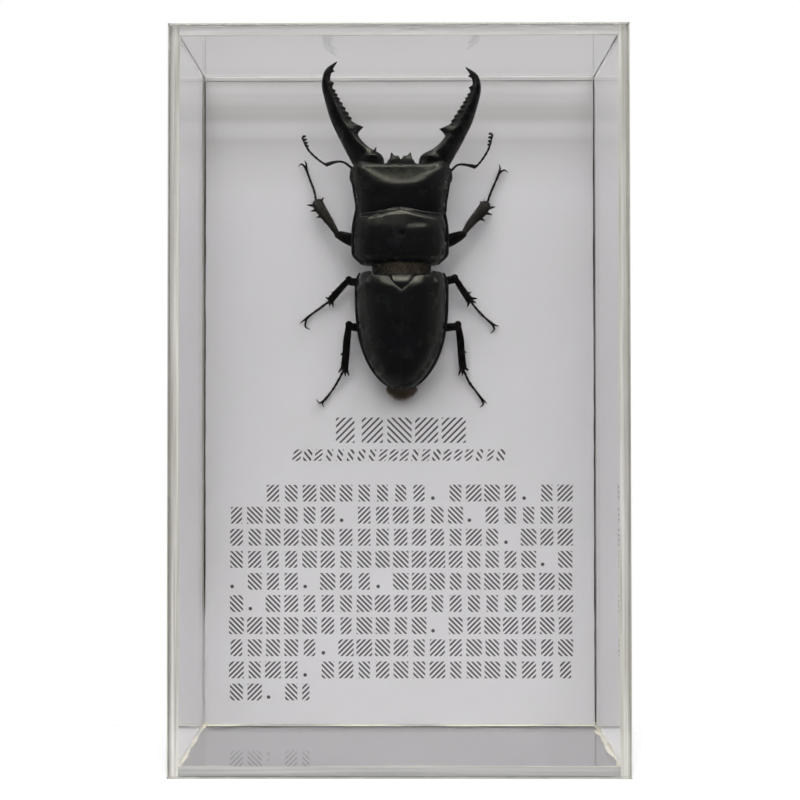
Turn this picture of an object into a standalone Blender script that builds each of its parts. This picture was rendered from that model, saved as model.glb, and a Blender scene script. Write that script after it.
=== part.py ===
"""Giant flat stag beetle on a card, sealed in a box of clear acrylic sheet.

Blender 4.5, run with: blender --background --python part.py

The box stands upright on its bottom wall with its front towards -Y, and its origin is the
middle of its base. Lengths below are millimetres, and new_node turns them into metres.
The beetle is modelled lying flat: x to its right as seen, y towards its head and z up from
the card. One empty turns it so that it stands against the card, facing -Y.
"""

import math

import bpy

MM = 0.001

# The box: six sheets bonded edge to face, with a line of cement between them
BOX_WIDTH = 95.0
BOX_HEIGHT = 155.0
BOX_DEPTH = 28.0
SHEET = 2.0
CEMENT = 0.3
CARD_THICKNESS = 0.3

# The middle of the wing cases' front edge, seen from the front of the box
BEETLE_X = 0.55
BEETLE_Z = 105.3

# Gap between neighbouring parts of the beetle
PART_GAP = 0.35

# Wing cases
WING_LENGTH = 25.8
WING_HALF_WIDTH = 10.7
SHOULDER_HALF_WIDTH = 9.7
SHOULDER_REACH = 1.3
WING_WIDEST_Y = -3.0
WING_CROWN = 12.0
WING_FRONT_CROWN = 11.3
WING_RIM = 5.2
WING_THICKNESS = 0.8
WING_RIM_UNDER = 4.5
WING_FALL_Y = -6.0
WING_TIP_SHORT = 0.15
SUTURE_HALF_GAP = 0.16
SCUTELLUM_LENGTH = 3.0
SCUTELLUM_HALF_WIDTH = 1.7
SCUTELLUM_FRONT_Y = 0.25
SCUTELLUM_DROP = 0.15

# Pronotum, the plate behind the head
PRONOTUM_X = -0.33
PRONOTUM_REAR_Y = 2.95
PRONOTUM_FRONT_Y = 13.9
PRONOTUM_LOBE = 1.3
PRONOTUM_HALF_WIDTHS = ((2.9, 8.9), (4.7, 10.75), (6.5, 11.0), (9.0, 11.05), (11.8, 10.85), (15.6, 10.1))
PRONOTUM_CROWNS = ((2.9, 10.6), (4.5, 11.5), (9.0, 12.0), (13.0, 11.5), (15.4, 10.7))
PRONOTUM_RIM = 7.0
PRONOTUM_UNDER_HALF_WIDTH = 9.0
PRONOTUM_BELLY = ((2.9, 2.6), (5.5, 1.2), (12.0, 1.4), (15.2, 3.0))

# Head
HEAD_X = -0.12
HEAD_FRONT_Y = 24.6
HEAD_HALF_WIDTHS = (
    (14.0, 10.0), (16.5, 10.25), (18.6, 10.75), (20.6, 11.05), (22.4, 11.45), (24.0, 11.5), (24.7, 11.1),
)
HEAD_CROWNS = ((14.0, 10.4), (16.0, 11.0), (19.0, 11.4), (22.0, 11.2), (24.7, 10.8))
HEAD_RIM = 7.2
HOLLOW_Y = 20.9
HOLLOW_SPREAD = 0.041
HOLLOW_SLOPE = 0.5
HEAD_UNDER_HALF_WIDTH = 10.2
HEAD_BELLY = ((14.0, 3.0), (18.0, 2.2), (24.6, 3.6))
EYE_CENTRE = (10.7, 22.6, 6.9)
EYE_RADII = (0.95, 1.7, 1.35)

# Body underneath: the neck, then the part that the wing cases cover
NECK_FRONT_Y = 2.55
NECK_HALF_WIDTH = 6.7
NECK_CROWN = 9.0
NECK_SIDE = 5.0
BODY_SHORT = 1.1
BELLY = ((-WING_LENGTH, 3.3), (-18.0, 1.2), (-8.0, 0.4), (0.0, 0.6), (2.6, 2.6))
BELLY_RIM = 3.8

# Jaws: outer and inner edge as points from the base to the tip, a section as (share of the
# way from the outer to the inner edge, share of the height), and the teeth as (place along
# the jaw, length, half width)
JAW_OUTER = (
    (10.9, 25.2), (12.1, 27.4), (13.3, 29.6), (14.5, 32.0), (15.9, 35.0),
    (17.1, 39.0), (17.7, 42.4), (16.9, 45.3), (14.4, 47.1),
)
JAW_INNER = (
    (3.75, 25.4), (4.4, 27.5), (7.0, 29.0), (9.4, 31.3), (11.0, 34.6),
    (13.9, 39.2), (15.7, 42.8), (15.4, 45.1), (14.2, 47.0),
)
JAW_SECTION = (
    (0.0, 0.0), (0.1, 0.34), (0.4, 0.5), (0.76, 0.26), (1.0, 0.0), (0.76, -0.26), (0.4, -0.5), (0.1, -0.34),
)
JAW_HEIGHTS = ((0.0, 4.6), (2.0, 4.4), (4.0, 3.6), (6.0, 2.6), (7.3, 1.6), (8.0, 0.5))
JAW_LEVELS = ((0.0, 6.8), (2.0, 7.1), (4.0, 8.3), (6.0, 10.1), (8.0, 11.0))
BIG_TOOTH = (3.76, 2.1, 0.36)
TIP_TEETH = ((5.93, 0.7, 0.13), (7.05, 0.65, 0.12))
SAW_TEETH = 6
SAW_FROM, SAW_TO = 4.22, 5.42
SAW_LENGTH, SAW_HALF_WIDTH = 0.42, 0.09
RIGHT_JAW_REACH = 0.94

# Antennae: the route of the long first joint, then that of the beads and the club
ANTENNAE = {
    "antenna_left": {
        "scape": (
            (-11.75, 25.2, 5.9), (-12.9, 25.95, 6.6), (-14.2, 26.05, 7.1), (-15.6, 25.7, 7.4),
            (-17.2, 25.1, 7.5),
        ),
        "whip": ((-16.9, 25.1, 7.5), (-18.9, 26.5, 7.6), (-21.0, 28.6, 7.6), (-22.4, 31.5, 7.6)),
        "leaf_side": 1,
    },
    "antenna_right": {
        "scape": (
            (11.9, 24.6, 5.9), (12.5, 25.25, 6.6), (13.6, 25.35, 7.1), (15.2, 25.05, 7.4),
            (16.9, 24.6, 7.5),
        ),
        "whip": ((16.6, 24.5, 7.5), (18.1, 26.2, 7.6), (19.6, 28.7, 7.6), (20.5, 32.0, 7.6)),
        "leaf_side": -1,
    },
}
SCAPE_RADII = (0.3, 0.27, 0.27, 0.34, 0.5)
WHIP_BEADS = 7
WHIP_RADII = (0.2, 0.31)
CLUB_LEAVES = 4
CLUB_FROM, CLUB_STEP = 0.76, 0.08
LEAF_LENGTH, LEAF_RISE = 0.95, 0.25

# Legs: thigh, shin and foot as routes from the body outwards, with the half widths of thigh
# and shin at their route points; each spine from its root to its tip; and the two claws
THIGH_FORE = (1.5, 1.4, 0.85)
THIGH_REAR = (1.0, 0.95, 0.85)
SHIN_HIND = (0.7, 0.85, 0.85, 0.9)
FOOT_JOINTS = 5
FOOT_RADII = (0.2, 0.33)
CLAW_RADII = (0.26, 0.2, 0.1)
SPINE_RADIUS = 0.3
LEGS = {
    "fore_leg_left": {
        "thigh": ((-9.7, 8.3, 4.0), (-12.2, 9.1, 4.6), (-14.9, 10.1, 5.2)),
        "thigh_radii": THIGH_FORE,
        "shin": ((-14.5, 9.9, 5.2), (-16.5, 13.1, 4.2), (-18.6, 16.2, 3.0), (-19.8, 18.5, 2.2)),
        "shin_radii": (0.6, 0.95, 1.3, 1.4),
        "spines": (
            ((-20.0, 17.0, 2.6), (-21.9, 17.4, 2.2)), ((-19.4, 16.0, 2.9), (-21.0, 15.9, 2.4)),
            ((-18.3, 14.5, 3.4), (-19.6, 14.3, 3.0)), ((-18.8, 17.8, 2.4), (-18.0, 19.3, 1.8)),
        ),
        "foot": ((-19.7, 18.0, 2.2), (-20.4, 21.2, 1.3), (-21.6, 24.3, 1.0), (-22.3, 26.6, 1.0)),
        "claws": (
            ((-22.2, 26.1, 1.0), (-23.2, 27.2, 1.0), (-24.1, 26.7, 0.6)),
            ((-22.2, 26.1, 1.0), (-22.2, 27.3, 1.0), (-22.6, 28.2, 0.6)),
        ),
    },
    "fore_leg_right": {
        "thigh": ((9.2, 8.0, 4.0), (11.7, 9.0, 4.6), (14.4, 10.1, 5.2)),
        "thigh_radii": THIGH_FORE,
        "shin": ((14.0, 10.0, 5.2), (15.9, 12.8, 4.2), (18.2, 15.4, 3.0), (19.9, 17.9, 2.2)),
        "shin_radii": (0.6, 0.95, 1.3, 1.35),
        "spines": (
            ((20.0, 16.4, 2.6), (21.7, 16.9, 2.2)), ((19.2, 15.3, 2.9), (20.9, 15.0, 2.4)),
            ((17.9, 14.0, 3.4), (19.2, 13.4, 3.0)), ((18.7, 17.0, 2.5), (18.1, 18.3, 2.0)),
        ),
        "foot": ((19.7, 17.5, 2.2), (20.7, 20.4, 1.3), (21.9, 23.1, 1.0), (22.9, 25.6, 1.0)),
        "claws": (
            ((22.8, 25.1, 1.0), (22.9, 26.2, 1.0), (22.7, 27.2, 0.6)),
            ((22.8, 25.1, 1.0), (23.9, 25.7, 1.0), (24.9, 25.2, 0.6)),
        ),
    },
    "mid_leg_left": {
        "thigh": ((-9.8, -0.8, 2.7), (-11.0, -0.6, 3.0), (-12.6, -0.5, 3.4)),
        "thigh_radii": THIGH_REAR,
        "shin": ((-12.1, -0.1, 3.4), (-14.4, -2.4, 2.7), (-16.8, -5.0, 1.9)),
        "shin_radii": (0.65, 0.75, 0.85),
        "spines": (
            ((-15.1, -3.2, 2.4), (-16.3, -2.7, 2.2)), ((-16.4, -4.5, 2.0), (-17.7, -3.9, 1.8)),
            ((-16.2, -4.7, 2.0), (-15.8, -6.2, 1.5)), ((-16.6, -4.8, 2.0), (-16.7, -6.1, 1.4)),
        ),
        "foot": ((-16.6, -4.8, 1.9), (-18.7, -6.2, 1.2), (-20.7, -7.6, 1.0), (-22.4, -9.0, 1.0)),
        "claws": (
            ((-22.1, -8.8, 1.0), (-22.9, -9.3, 0.9), (-23.8, -9.9, 0.6)),
            ((-22.1, -8.8, 1.0), (-22.4, -10.6, 1.0), (-21.3, -11.3, 0.6)),
        ),
    },
    "mid_leg_right": {
        "thigh": ((9.8, -0.5, 2.7), (11.0, -0.2, 3.0), (12.7, 0.0, 3.4)),
        "thigh_radii": THIGH_REAR,
        "shin": ((12.2, 0.3, 3.4), (14.1, -2.5, 2.7), (16.1, -5.2, 1.9)),
        "shin_radii": (0.65, 0.75, 0.85),
        "spines": (
            ((14.9, -3.2, 2.4), (16.1, -2.9, 2.2)), ((15.9, -4.3, 2.0), (17.5, -4.3, 1.8)),
            ((15.9, -4.8, 2.0), (17.3, -5.3, 1.6)), ((15.6, -4.9, 2.0), (15.2, -6.3, 1.5)),
        ),
        "foot": ((15.9, -4.9, 1.9), (17.6, -6.9, 1.2), (19.5, -8.8, 1.0), (21.2, -10.2, 1.0)),
        "claws": (
            ((20.9, -10.0, 1.0), (21.8, -10.4, 0.9), (22.7, -10.6, 0.6)),
            ((20.9, -10.0, 1.0), (21.5, -11.3, 1.0), (20.6, -12.3, 0.6)),
        ),
    },
    "hind_leg_left": {
        "thigh": ((-9.5, -11.15, 2.7), (-10.6, -11.0, 3.0), (-12.3, -10.9, 3.4)),
        "thigh_radii": THIGH_REAR,
        "shin": ((-12.1, -10.4, 3.4), (-12.6, -13.9, 2.8), (-12.9, -17.4, 2.3), (-13.3, -21.0, 1.9)),
        "shin_radii": SHIN_HIND,
        "spines": (
            ((-13.1, -16.6, 2.3), (-14.2, -17.4, 2.1)), ((-13.7, -20.2, 2.0), (-14.7, -21.4, 1.7)),
            ((-12.8, -20.4, 2.0), (-12.2, -22.2, 1.5)), ((-13.2, -20.6, 2.0), (-13.0, -22.3, 1.4)),
        ),
        "foot": ((-13.3, -20.6, 1.9), (-14.9, -23.5, 1.2), (-16.5, -26.0, 1.0), (-18.1, -27.9, 1.0)),
        "claws": (
            ((-17.8, -27.6, 1.0), (-19.1, -28.4, 1.0), (-19.9, -27.4, 0.6)),
            ((-17.8, -27.6, 1.0), (-18.4, -28.5, 0.9), (-18.1, -29.4, 0.6)),
        ),
    },
    "hind_leg_right": {
        "thigh": ((9.5, -11.1, 2.7), (11.0, -11.0, 3.0), (13.1, -10.9, 3.4)),
        "thigh_radii": THIGH_REAR,
        "shin": ((12.9, -10.4, 3.4), (13.5, -13.9, 2.8), (13.8, -17.4, 2.3), (14.2, -21.0, 1.9)),
        "shin_radii": SHIN_HIND,
        "spines": (
            ((13.9, -16.2, 2.3), (15.0, -16.9, 2.1)), ((14.5, -20.2, 2.0), (15.5, -21.0, 1.7)),
            ((13.7, -20.4, 2.0), (13.1, -22.2, 1.5)), ((14.1, -20.6, 2.0), (14.0, -22.2, 1.4)),
        ),
        "foot": ((14.2, -20.6, 1.9), (15.5, -23.4, 1.2), (17.1, -25.6, 1.0), (18.7, -27.7, 1.0)),
        "claws": (
            ((18.4, -27.4, 1.0), (19.2, -28.0, 0.9), (19.8, -28.6, 0.6)),
            ((18.4, -27.4, 1.0), (18.9, -28.7, 1.0), (18.0, -29.5, 0.6)),
        ),
    },
}

# Clypeus: the two forked prongs between the jaws, half of its outline
CLYPEUS_HALF = ((3.2, 24.1), (3.2, 26.4), (2.65, 26.6), (2.2, 28.1), (1.4, 27.35), (0.55, 27.3), (0.0, 26.5))
CLYPEUS_LEVEL = 6.9
CLYPEUS_HEIGHTS = (2.8, 1.1)

# Finishes: colour, roughness, metallic
CLEAR = ("clear acrylic", (0.86, 0.88, 0.88), 0.03, 0.0)
PAPER = ("card", (0.52, 0.52, 0.54), 0.85, 0.0)
CHITIN = ("black chitin", (0.013, 0.013, 0.014), 0.32, 0.0)
BROWN = ("brown chitin", (0.03, 0.022, 0.017), 0.45, 0.0)


def clear_scene():
    """Remove every object, so that the script can run twice in one file."""
    for item in list(bpy.data.objects):
        bpy.data.objects.remove(item, do_unlink=True)


def finish_material(name, finish):
    """Principled material of one node from its colour, roughness and metallic value."""
    label, colour, roughness, metallic = finish
    material = bpy.data.materials.new(f"{name} {label}")
    material.use_nodes = True
    shader = material.node_tree.nodes["Principled BSDF"]
    shader.inputs["Base Color"].default_value = (*colour, 1.0)
    shader.inputs["Roughness"].default_value = roughness
    shader.inputs["Metallic"].default_value = metallic
    if finish is CLEAR:
        shader.inputs["Transmission Weight"].default_value = 1.0
        shader.inputs["IOR"].default_value = 1.49
    return material


def new_node(name, shape, finish, parent=None, smooth=True):
    """Object from a shape in millimetres, with its own material."""
    points, faces = shape
    mesh = bpy.data.meshes.new(name)
    mesh.from_pydata([[value * MM for value in point] for point in points], [], faces)
    mesh.validate()
    if smooth:
        mesh.shade_smooth()
        mesh.set_sharp_from_angle(angle=math.radians(40))
    mesh.materials.append(finish_material(name, finish))
    item = bpy.data.objects.new(name, mesh)
    item.parent = parent
    bpy.context.scene.collection.objects.link(item)
    return item


def fused_node(name, shapes, finish, parent):
    """Object that joins overlapping shapes into one closed body."""
    item = new_node(name, shapes[0], finish, parent)
    helper = new_node(name + " additions", joined(shapes[1:]), finish, parent)
    helper.hide_render = True
    helper.display_type = "WIRE"
    union = item.modifiers.new("Union", "BOOLEAN")
    union.operation = "UNION"
    union.solver = "EXACT"
    union.use_self = True
    union.object = helper
    bpy.context.view_layer.update()
    evaluated = item.evaluated_get(bpy.context.evaluated_depsgraph_get())
    mesh = bpy.data.meshes.new_from_object(evaluated)
    item.modifiers.clear()
    item.data = mesh
    bpy.data.objects.remove(helper, do_unlink=True)
    return item


def joined(shapes):
    """Several shapes as one list of points and faces."""
    points, faces = [], []
    for more_points, more_faces in shapes:
        start = len(points)
        points.extend(more_points)
        faces.extend([start + index for index in face] for face in more_faces)
    return points, faces


def mirrored(shape):
    """Shape seen in a mirror across x = 0, with its faces still pointing out."""
    points, faces = shape
    return [(-x, y, z) for x, y, z in points], [list(reversed(face)) for face in faces]


def moved(shape, x, y, z=0.0):
    """Shape shifted by x, y and z."""
    points, faces = shape
    return [(px + x, py + y, pz + z) for px, py, pz in points], faces


def shortened(shape, foot_y, share):
    """Shape with its length past foot_y cut to a share."""
    points, faces = shape
    return [(x, foot_y + share * (y - foot_y), z) for x, y, z in points], faces


def through(knots, place):
    """Value at a place on the smooth curve through (place, value) knots."""
    if place <= knots[0][0]:
        return knots[0][1]
    if place >= knots[-1][0]:
        return knots[-1][1]
    index = max(i for i in range(len(knots) - 1) if knots[i][0] <= place)
    (x0, y0), (x1, y1) = knots[index], knots[index + 1]
    before = knots[index - 1] if index > 0 else knots[index]
    after = knots[index + 2] if index + 2 < len(knots) else knots[index + 1]
    slope0 = (y1 - before[1]) / (x1 - before[0])
    slope1 = (after[1] - y0) / (after[0] - x0)
    width = x1 - x0
    t = (place - x0) / width
    return (
        (2 * t**3 - 3 * t**2 + 1) * y0
        + (t**3 - 2 * t**2 + t) * width * slope0
        + (3 * t**2 - 2 * t**3) * y1
        + (t**3 - t**2) * width * slope1
    )


def on_curve(points, place):
    """Point at a place on the smooth curve through points; point k is at place k."""
    return tuple(
        through([(k, point[axis]) for k, point in enumerate(points)], place)
        for axis in range(len(points[0]))
    )


def dome(share, power, root):
    """Height share of a dome, 1 in the middle and 0 at share 1 or past it."""
    return (1.0 - min(1.0, abs(share)) ** power) ** (1.0 / root)


def ease(value, start, end):
    """Smooth step from 0 at start to 1 at end."""
    t = min(1.0, max(0.0, (value - start) / (end - start)))
    return t * t * (3.0 - 2.0 * t)


def spread(low, high, count):
    """Evenly spaced values, both ends included."""
    return [low + (high - low) * i / (count - 1) for i in range(count)]


def edged(count):
    """Values from -1 to 1 that lie closer together towards the ends."""
    return [math.sin(0.5 * math.pi * value) for value in spread(-1.0, 1.0, count)]


def relief_solid(across, along, plan, top, under):
    """Closed solid between an upper and a lower surface over one plan grid.

    plan(s, t) gives x and y; top(x, y) and under(x, y) give the two heights.
    """
    rows, columns = len(along), len(across)
    places = [plan(s, t) for t in along for s in across]
    points = [(x, y, top(x, y)) for x, y in places]
    points += [(x, y, under(x, y)) for x, y in places]
    below = rows * columns

    def quads(column_first, row_first):
        """One cell's corners, anticlockwise from above."""
        corner = row_first * columns + column_first
        return [corner, corner + 1, corner + columns + 1, corner + columns]

    faces = []
    for row in range(rows - 1):
        for column in range(columns - 1):
            cell = quads(column, row)
            faces.append(cell)
            faces.append([below + index for index in reversed(cell)])
    rim = list(range(columns))
    rim += [row * columns + columns - 1 for row in range(1, rows)]
    rim += [(rows - 1) * columns + column for column in range(columns - 2, -1, -1)]
    rim += [row * columns for row in range(rows - 2, 0, -1)]
    for first, second in zip(rim, rim[1:] + rim[:1]):
        faces.append([first, below + first, below + second, second])
    return points, faces


def ring_solid(rings):
    """Closed solid through rings of equal length, each from its right side over the top."""
    sides = len(rings[0])
    points = [point for ring in rings for point in ring]
    faces = [list(range(sides))]
    for first in range(0, (len(rings) - 1) * sides, sides):
        for side in range(sides):
            after = (side + 1) % sides
            faces.append([first + side, first + sides + side, first + sides + after, first + after])
    faces.append([len(points) - 1 - side for side in range(sides)])
    return points, faces


def limb(route, half_widths, half_heights, sides=6, stations=6):
    """Tube along a smooth route, with a half width and a half height for each route point."""
    last = len(route) - 1
    rings = []
    for place in spread(0.0, last, stations):
        x, y, z = on_curve(route, place)
        ahead = on_curve(route, min(last, place + 0.05))
        behind = on_curve(route, max(0.0, place - 0.05))
        dx, dy = ahead[0] - behind[0], ahead[1] - behind[1]
        run = math.hypot(dx, dy)
        half_width = through(list(enumerate(half_widths)), place)
        half_height = through(list(enumerate(half_heights)), place)
        ring = []
        for side in range(sides):
            turn = 2.0 * math.pi * (side + 0.5) / sides
            out = half_width * math.cos(turn)
            ring.append((x + out * dy / run, y - out * dx / run, z + half_height * math.sin(turn)))
        rings.append(ring)
    return ring_solid(rings)


def spike(root, tip, radius):
    """Four-sided spine from a root inside the limb to its tip."""
    middle = tuple(0.5 * (a + b) for a, b in zip(root, tip))
    return limb((root, middle, tip), (radius, 0.7 * radius, 0.12), (radius, 0.7 * radius, 0.12), 4, 3)


def wing_half_width(y):
    """Half the width of the closed wing cases at y."""
    if y > WING_WIDEST_Y:
        share = (y - WING_WIDEST_Y) / (SHOULDER_REACH - WING_WIDEST_Y)
        return WING_HALF_WIDTH - (WING_HALF_WIDTH - SHOULDER_HALF_WIDTH) * share**3
    share = (WING_WIDEST_Y - y) / (WING_LENGTH + WING_WIDEST_Y)
    return WING_HALF_WIDTH * dome(share, 2.6, 1.8)


def wing_crown(y):
    """Height of the wing cases along the suture."""
    front = WING_FRONT_CROWN + (WING_CROWN - WING_FRONT_CROWN) * ease(-y, -1.3, 4.0)
    fall = max(0.0, (WING_FALL_Y - y) / (WING_FALL_Y + WING_LENGTH))
    return WING_RIM + (front - WING_RIM) * dome(fall, 2.4, 2.0)


def wing_surface(x, y, inset, drop, base):
    """Height of a dome that lies an inset and a drop inside the wing cases."""
    half = wing_half_width(y) - inset
    if half <= abs(x):
        return base
    return base + max(0.0, wing_crown(y) - drop - base) * dome(x / half, 2.8, 2.2)


def wing_case():
    """Right wing case, from the suture to the rim, notched beside the scutellum."""
    rear_y = WING_TIP_SHORT - WING_LENGTH

    def plan(s, t):
        front_y = SHOULDER_REACH * s**6
        y = front_y + (rear_y - front_y) * math.sin(0.5 * math.pi * t)
        notch = SCUTELLUM_HALF_WIDTH + PART_GAP
        inner = SUTURE_HALF_GAP + notch * max(0.0, 1.0 + y / (SCUTELLUM_LENGTH + PART_GAP))
        return inner + s * (max(0.6, wing_half_width(y)) - inner), y

    def top(x, y):
        return max(WING_RIM, wing_surface(x, y, 0.0, 0.0, WING_RIM))

    def under(x, y):
        return wing_surface(x, y, WING_THICKNESS, WING_THICKNESS, WING_RIM_UNDER)

    across = [math.sin(0.5 * math.pi * s) for s in spread(0.0, 1.0, 9)]
    return relief_solid(across, spread(1.0, 0.0, 15), plan, top, under)


def scutellum():
    """Small shield in the notch between the wing cases."""

    def plan(s, t):
        y = SCUTELLUM_FRONT_Y - (SCUTELLUM_LENGTH - SCUTELLUM_DROP) * t
        return s * max(0.12, SCUTELLUM_HALF_WIDTH * (1.0 - t**1.3)), y

    def top(x, y):
        return wing_crown(y) - SCUTELLUM_DROP

    def under(x, y):
        return wing_crown(y) - SCUTELLUM_DROP - WING_THICKNESS

    return relief_solid(spread(-1.0, 1.0, 5), spread(1.0, 0.0, 6), plan, top, under)


def hindbody():
    """Neck, hind thorax and abdomen in one piece, under the wing cases."""
    rear_y = BODY_SHORT - WING_LENGTH
    inset = WING_THICKNESS + PART_GAP

    def plan(s, t):
        y = NECK_FRONT_Y + (rear_y - NECK_FRONT_Y) * t
        covered = wing_half_width(min(y, -0.6)) - inset
        half = NECK_HALF_WIDTH + (covered - NECK_HALF_WIDTH) * ease(y, 0.2, -0.7)
        return s * max(0.8, half), y

    def top(x, y):
        covered = wing_surface(x, min(y, -0.2), inset, inset, WING_RIM_UNDER - PART_GAP)
        neck = NECK_SIDE + (NECK_CROWN - NECK_SIDE) * dome(x / (NECK_HALF_WIDTH + 0.2), 3.0, 2.2)
        return covered + (neck - covered) * ease(y, 0.0, 0.5)

    def under(x, y):
        half = wing_half_width(min(y, -0.6)) - inset + 0.2
        return BELLY_RIM - (BELLY_RIM - through(BELLY, y)) * dome(x / half, 2.6, 2.0)

    return relief_solid(edged(11), spread(1.0, 0.0, 15), plan, top, under)


def pronotum_front(s):
    """Front edge of the pronotum: a lobe in the middle and a point at each corner."""
    lobe = math.exp(-((s / 0.32) ** 2))
    return PRONOTUM_FRONT_Y + PRONOTUM_LOBE * (lobe + ease(abs(s), 0.86, 1.0))


def pronotum():
    """Plate behind the head, with the fore thorax under it."""

    def plan(s, t):
        y = PRONOTUM_REAR_Y + (pronotum_front(s) - PRONOTUM_REAR_Y) * t
        return s * through(PRONOTUM_HALF_WIDTHS, y), y

    def top(x, y):
        share = x / through(PRONOTUM_HALF_WIDTHS, y)
        return PRONOTUM_RIM + (through(PRONOTUM_CROWNS, y) - PRONOTUM_RIM) * dome(share, 3.2, 2.4)

    def under(x, y):
        rim = PRONOTUM_RIM - 0.6
        return rim - (rim - through(PRONOTUM_BELLY, y)) * dome(x / PRONOTUM_UNDER_HALF_WIDTH, 3.0, 2.0)

    shape = relief_solid(edged(15), spread(0.0, 1.0, 10), plan, top, under)
    return moved(shape, PRONOTUM_X, 0.0)


def head_top(x, y):
    """Upper surface of the head, with the hollow behind its front edge."""
    crown = through(HEAD_CROWNS, y)
    hollow = max(0.0, y - HOLLOW_Y - HOLLOW_SPREAD * x * x)
    share = x / through(HEAD_HALF_WIDTHS, y)
    return HEAD_RIM + (crown - HOLLOW_SLOPE * hollow - HEAD_RIM) * dome(share, 3.6, 2.4)


def head():
    """Head plate and the cheeks under it, as one block."""

    def plan(s, t):
        rear_y = pronotum_front(s) + PART_GAP
        front_y = HEAD_FRONT_Y - 0.5 * s**8
        y = rear_y + (front_y - rear_y) * t
        return s * through(HEAD_HALF_WIDTHS, y), y

    def under(x, y):
        rim = HEAD_RIM - 0.8
        return rim - (rim - through(HEAD_BELLY, y)) * dome(x / HEAD_UNDER_HALF_WIDTH, 3.0, 2.0)

    return relief_solid(edged(15), spread(0.0, 1.0, 11), plan, head_top, under)


def clypeus():
    """Two forked prongs on the front of the head, thinner towards their points."""
    outline = list(CLYPEUS_HALF) + [(-x, y) for x, y in reversed(CLYPEUS_HALF[:-1])]
    thick, thin = CLYPEUS_HEIGHTS
    low_y, high_y = CLYPEUS_HALF[0][1], CLYPEUS_HALF[3][1]

    def height(y):
        return thick + (thin - thick) * (y - low_y) / (high_y - low_y)

    count = len(outline)
    points = [(x, y, CLYPEUS_LEVEL + 0.5 * height(y)) for x, y in outline]
    points += [(x, y, CLYPEUS_LEVEL - 0.5 * height(y)) for x, y in outline]
    middle = len(points)
    points += [(0.0, low_y + 1.0, CLYPEUS_LEVEL + half * thick) for half in (0.5, -0.5)]
    faces = []
    for first in range(count):
        second = (first + 1) % count
        faces.append([first, second, middle])
        faces.append([count + second, count + first, middle + 1])
        faces.append([count + first, count + second, second, first])
    return points, faces


def eye(side):
    """Eye on one side of the head, under the edge of the head plate."""
    (x, y, z), (wide, long, high) = EYE_CENTRE, EYE_RADII
    rings = []
    for step in spread(-1.0, 1.0, 5):
        radius = math.sqrt(max(0.02, 1.0 - step * step))
        rings.append([
            (side * x + wide * radius * math.cos(turn), y + long * step, z + high * radius * math.sin(turn))
            for turn in spread(0.0, 2.0 * math.pi, 9)[:-1]
        ])
    return ring_solid(rings)


def tooth_reach(place):
    """How far the jaw's inner edge stands out at a place along it."""
    teeth = list(TIP_TEETH)
    for place_of_tooth in spread(SAW_FROM, SAW_TO, SAW_TEETH):
        teeth.append((place_of_tooth, SAW_LENGTH, SAW_HALF_WIDTH))
    reach = 0.0
    for centre, length, half_width in teeth:
        reach += length * max(0.0, 1.0 - abs(place - centre) / half_width)
    centre, length, half_width = BIG_TOOTH
    behind = max(0.0, 1.0 - (centre - place) / (1.7 * half_width)) if place <= centre else 0.0
    ahead = max(0.0, 1.0 - (place - centre) / (0.8 * half_width)) if place > centre else 0.0
    return reach + length * (behind**1.6 + ahead**1.4)


def jaw_places():
    """Places of the jaw's rings: an even set, with one more at each tooth's foot and tip."""
    places = spread(0.0, 8.0, 15)
    centre, _, half_width = BIG_TOOTH
    places += [centre - 0.8 * half_width, centre - 0.3 * half_width, centre, centre + 0.8 * half_width]
    for tooth, _, reach in TIP_TEETH:
        places += [tooth - reach, tooth, tooth + reach]
    step = (SAW_TO - SAW_FROM) / (SAW_TEETH - 1)
    for tooth in spread(SAW_FROM, SAW_TO, SAW_TEETH):
        places += [tooth, tooth + 0.5 * step]
    kept = []
    for place in sorted(places):
        if not kept or place - kept[-1] > 0.07:
            kept.append(place)
    return kept


def jaw():
    """Right jaw: sharp on the inside with its teeth, round on the outside."""
    rings = []
    for place in jaw_places():
        outer, inner = on_curve(JAW_OUTER, place), on_curve(JAW_INNER, place)
        width = math.hypot(inner[0] - outer[0], inner[1] - outer[1])
        reach = tooth_reach(place)
        height, level = through(JAW_HEIGHTS, place), through(JAW_LEVELS, place)
        ring = []
        for inward, up in JAW_SECTION:
            stretch = inward + (reach / width) * max(0.0, (inward - 0.5) / 0.5) ** 2
            ring.append((outer[0] + (inner[0] - outer[0]) * stretch,
                         outer[1] + (inner[1] - outer[1]) * stretch, level + height * up))
        rings.append(ring)
    return ring_solid(rings)


def beads(route, narrow, wide, count, sides=6):
    """Row of segments along a route, each thin at its start and thick at its end."""
    rings = []
    last = len(route) - 1
    for segment in range(count):
        for share, radius in ((0.06, narrow), (0.6, 0.8 * wide), (0.94, wide)):
            place = last * (segment + share) / count
            x, y, z = on_curve(route, place)
            ahead, behind = on_curve(route, min(last, place + 0.05)), on_curve(route, max(0.0, place - 0.05))
            dx, dy = ahead[0] - behind[0], ahead[1] - behind[1]
            run = math.hypot(dx, dy)
            turns = [2.0 * math.pi * (side + 0.5) / sides for side in range(sides)]
            rings.append([
                (x + radius * math.cos(turn) * dy / run, y - radius * math.cos(turn) * dx / run,
                 z + radius * math.sin(turn)) for turn in turns
            ])
    return ring_solid(rings)


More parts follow.
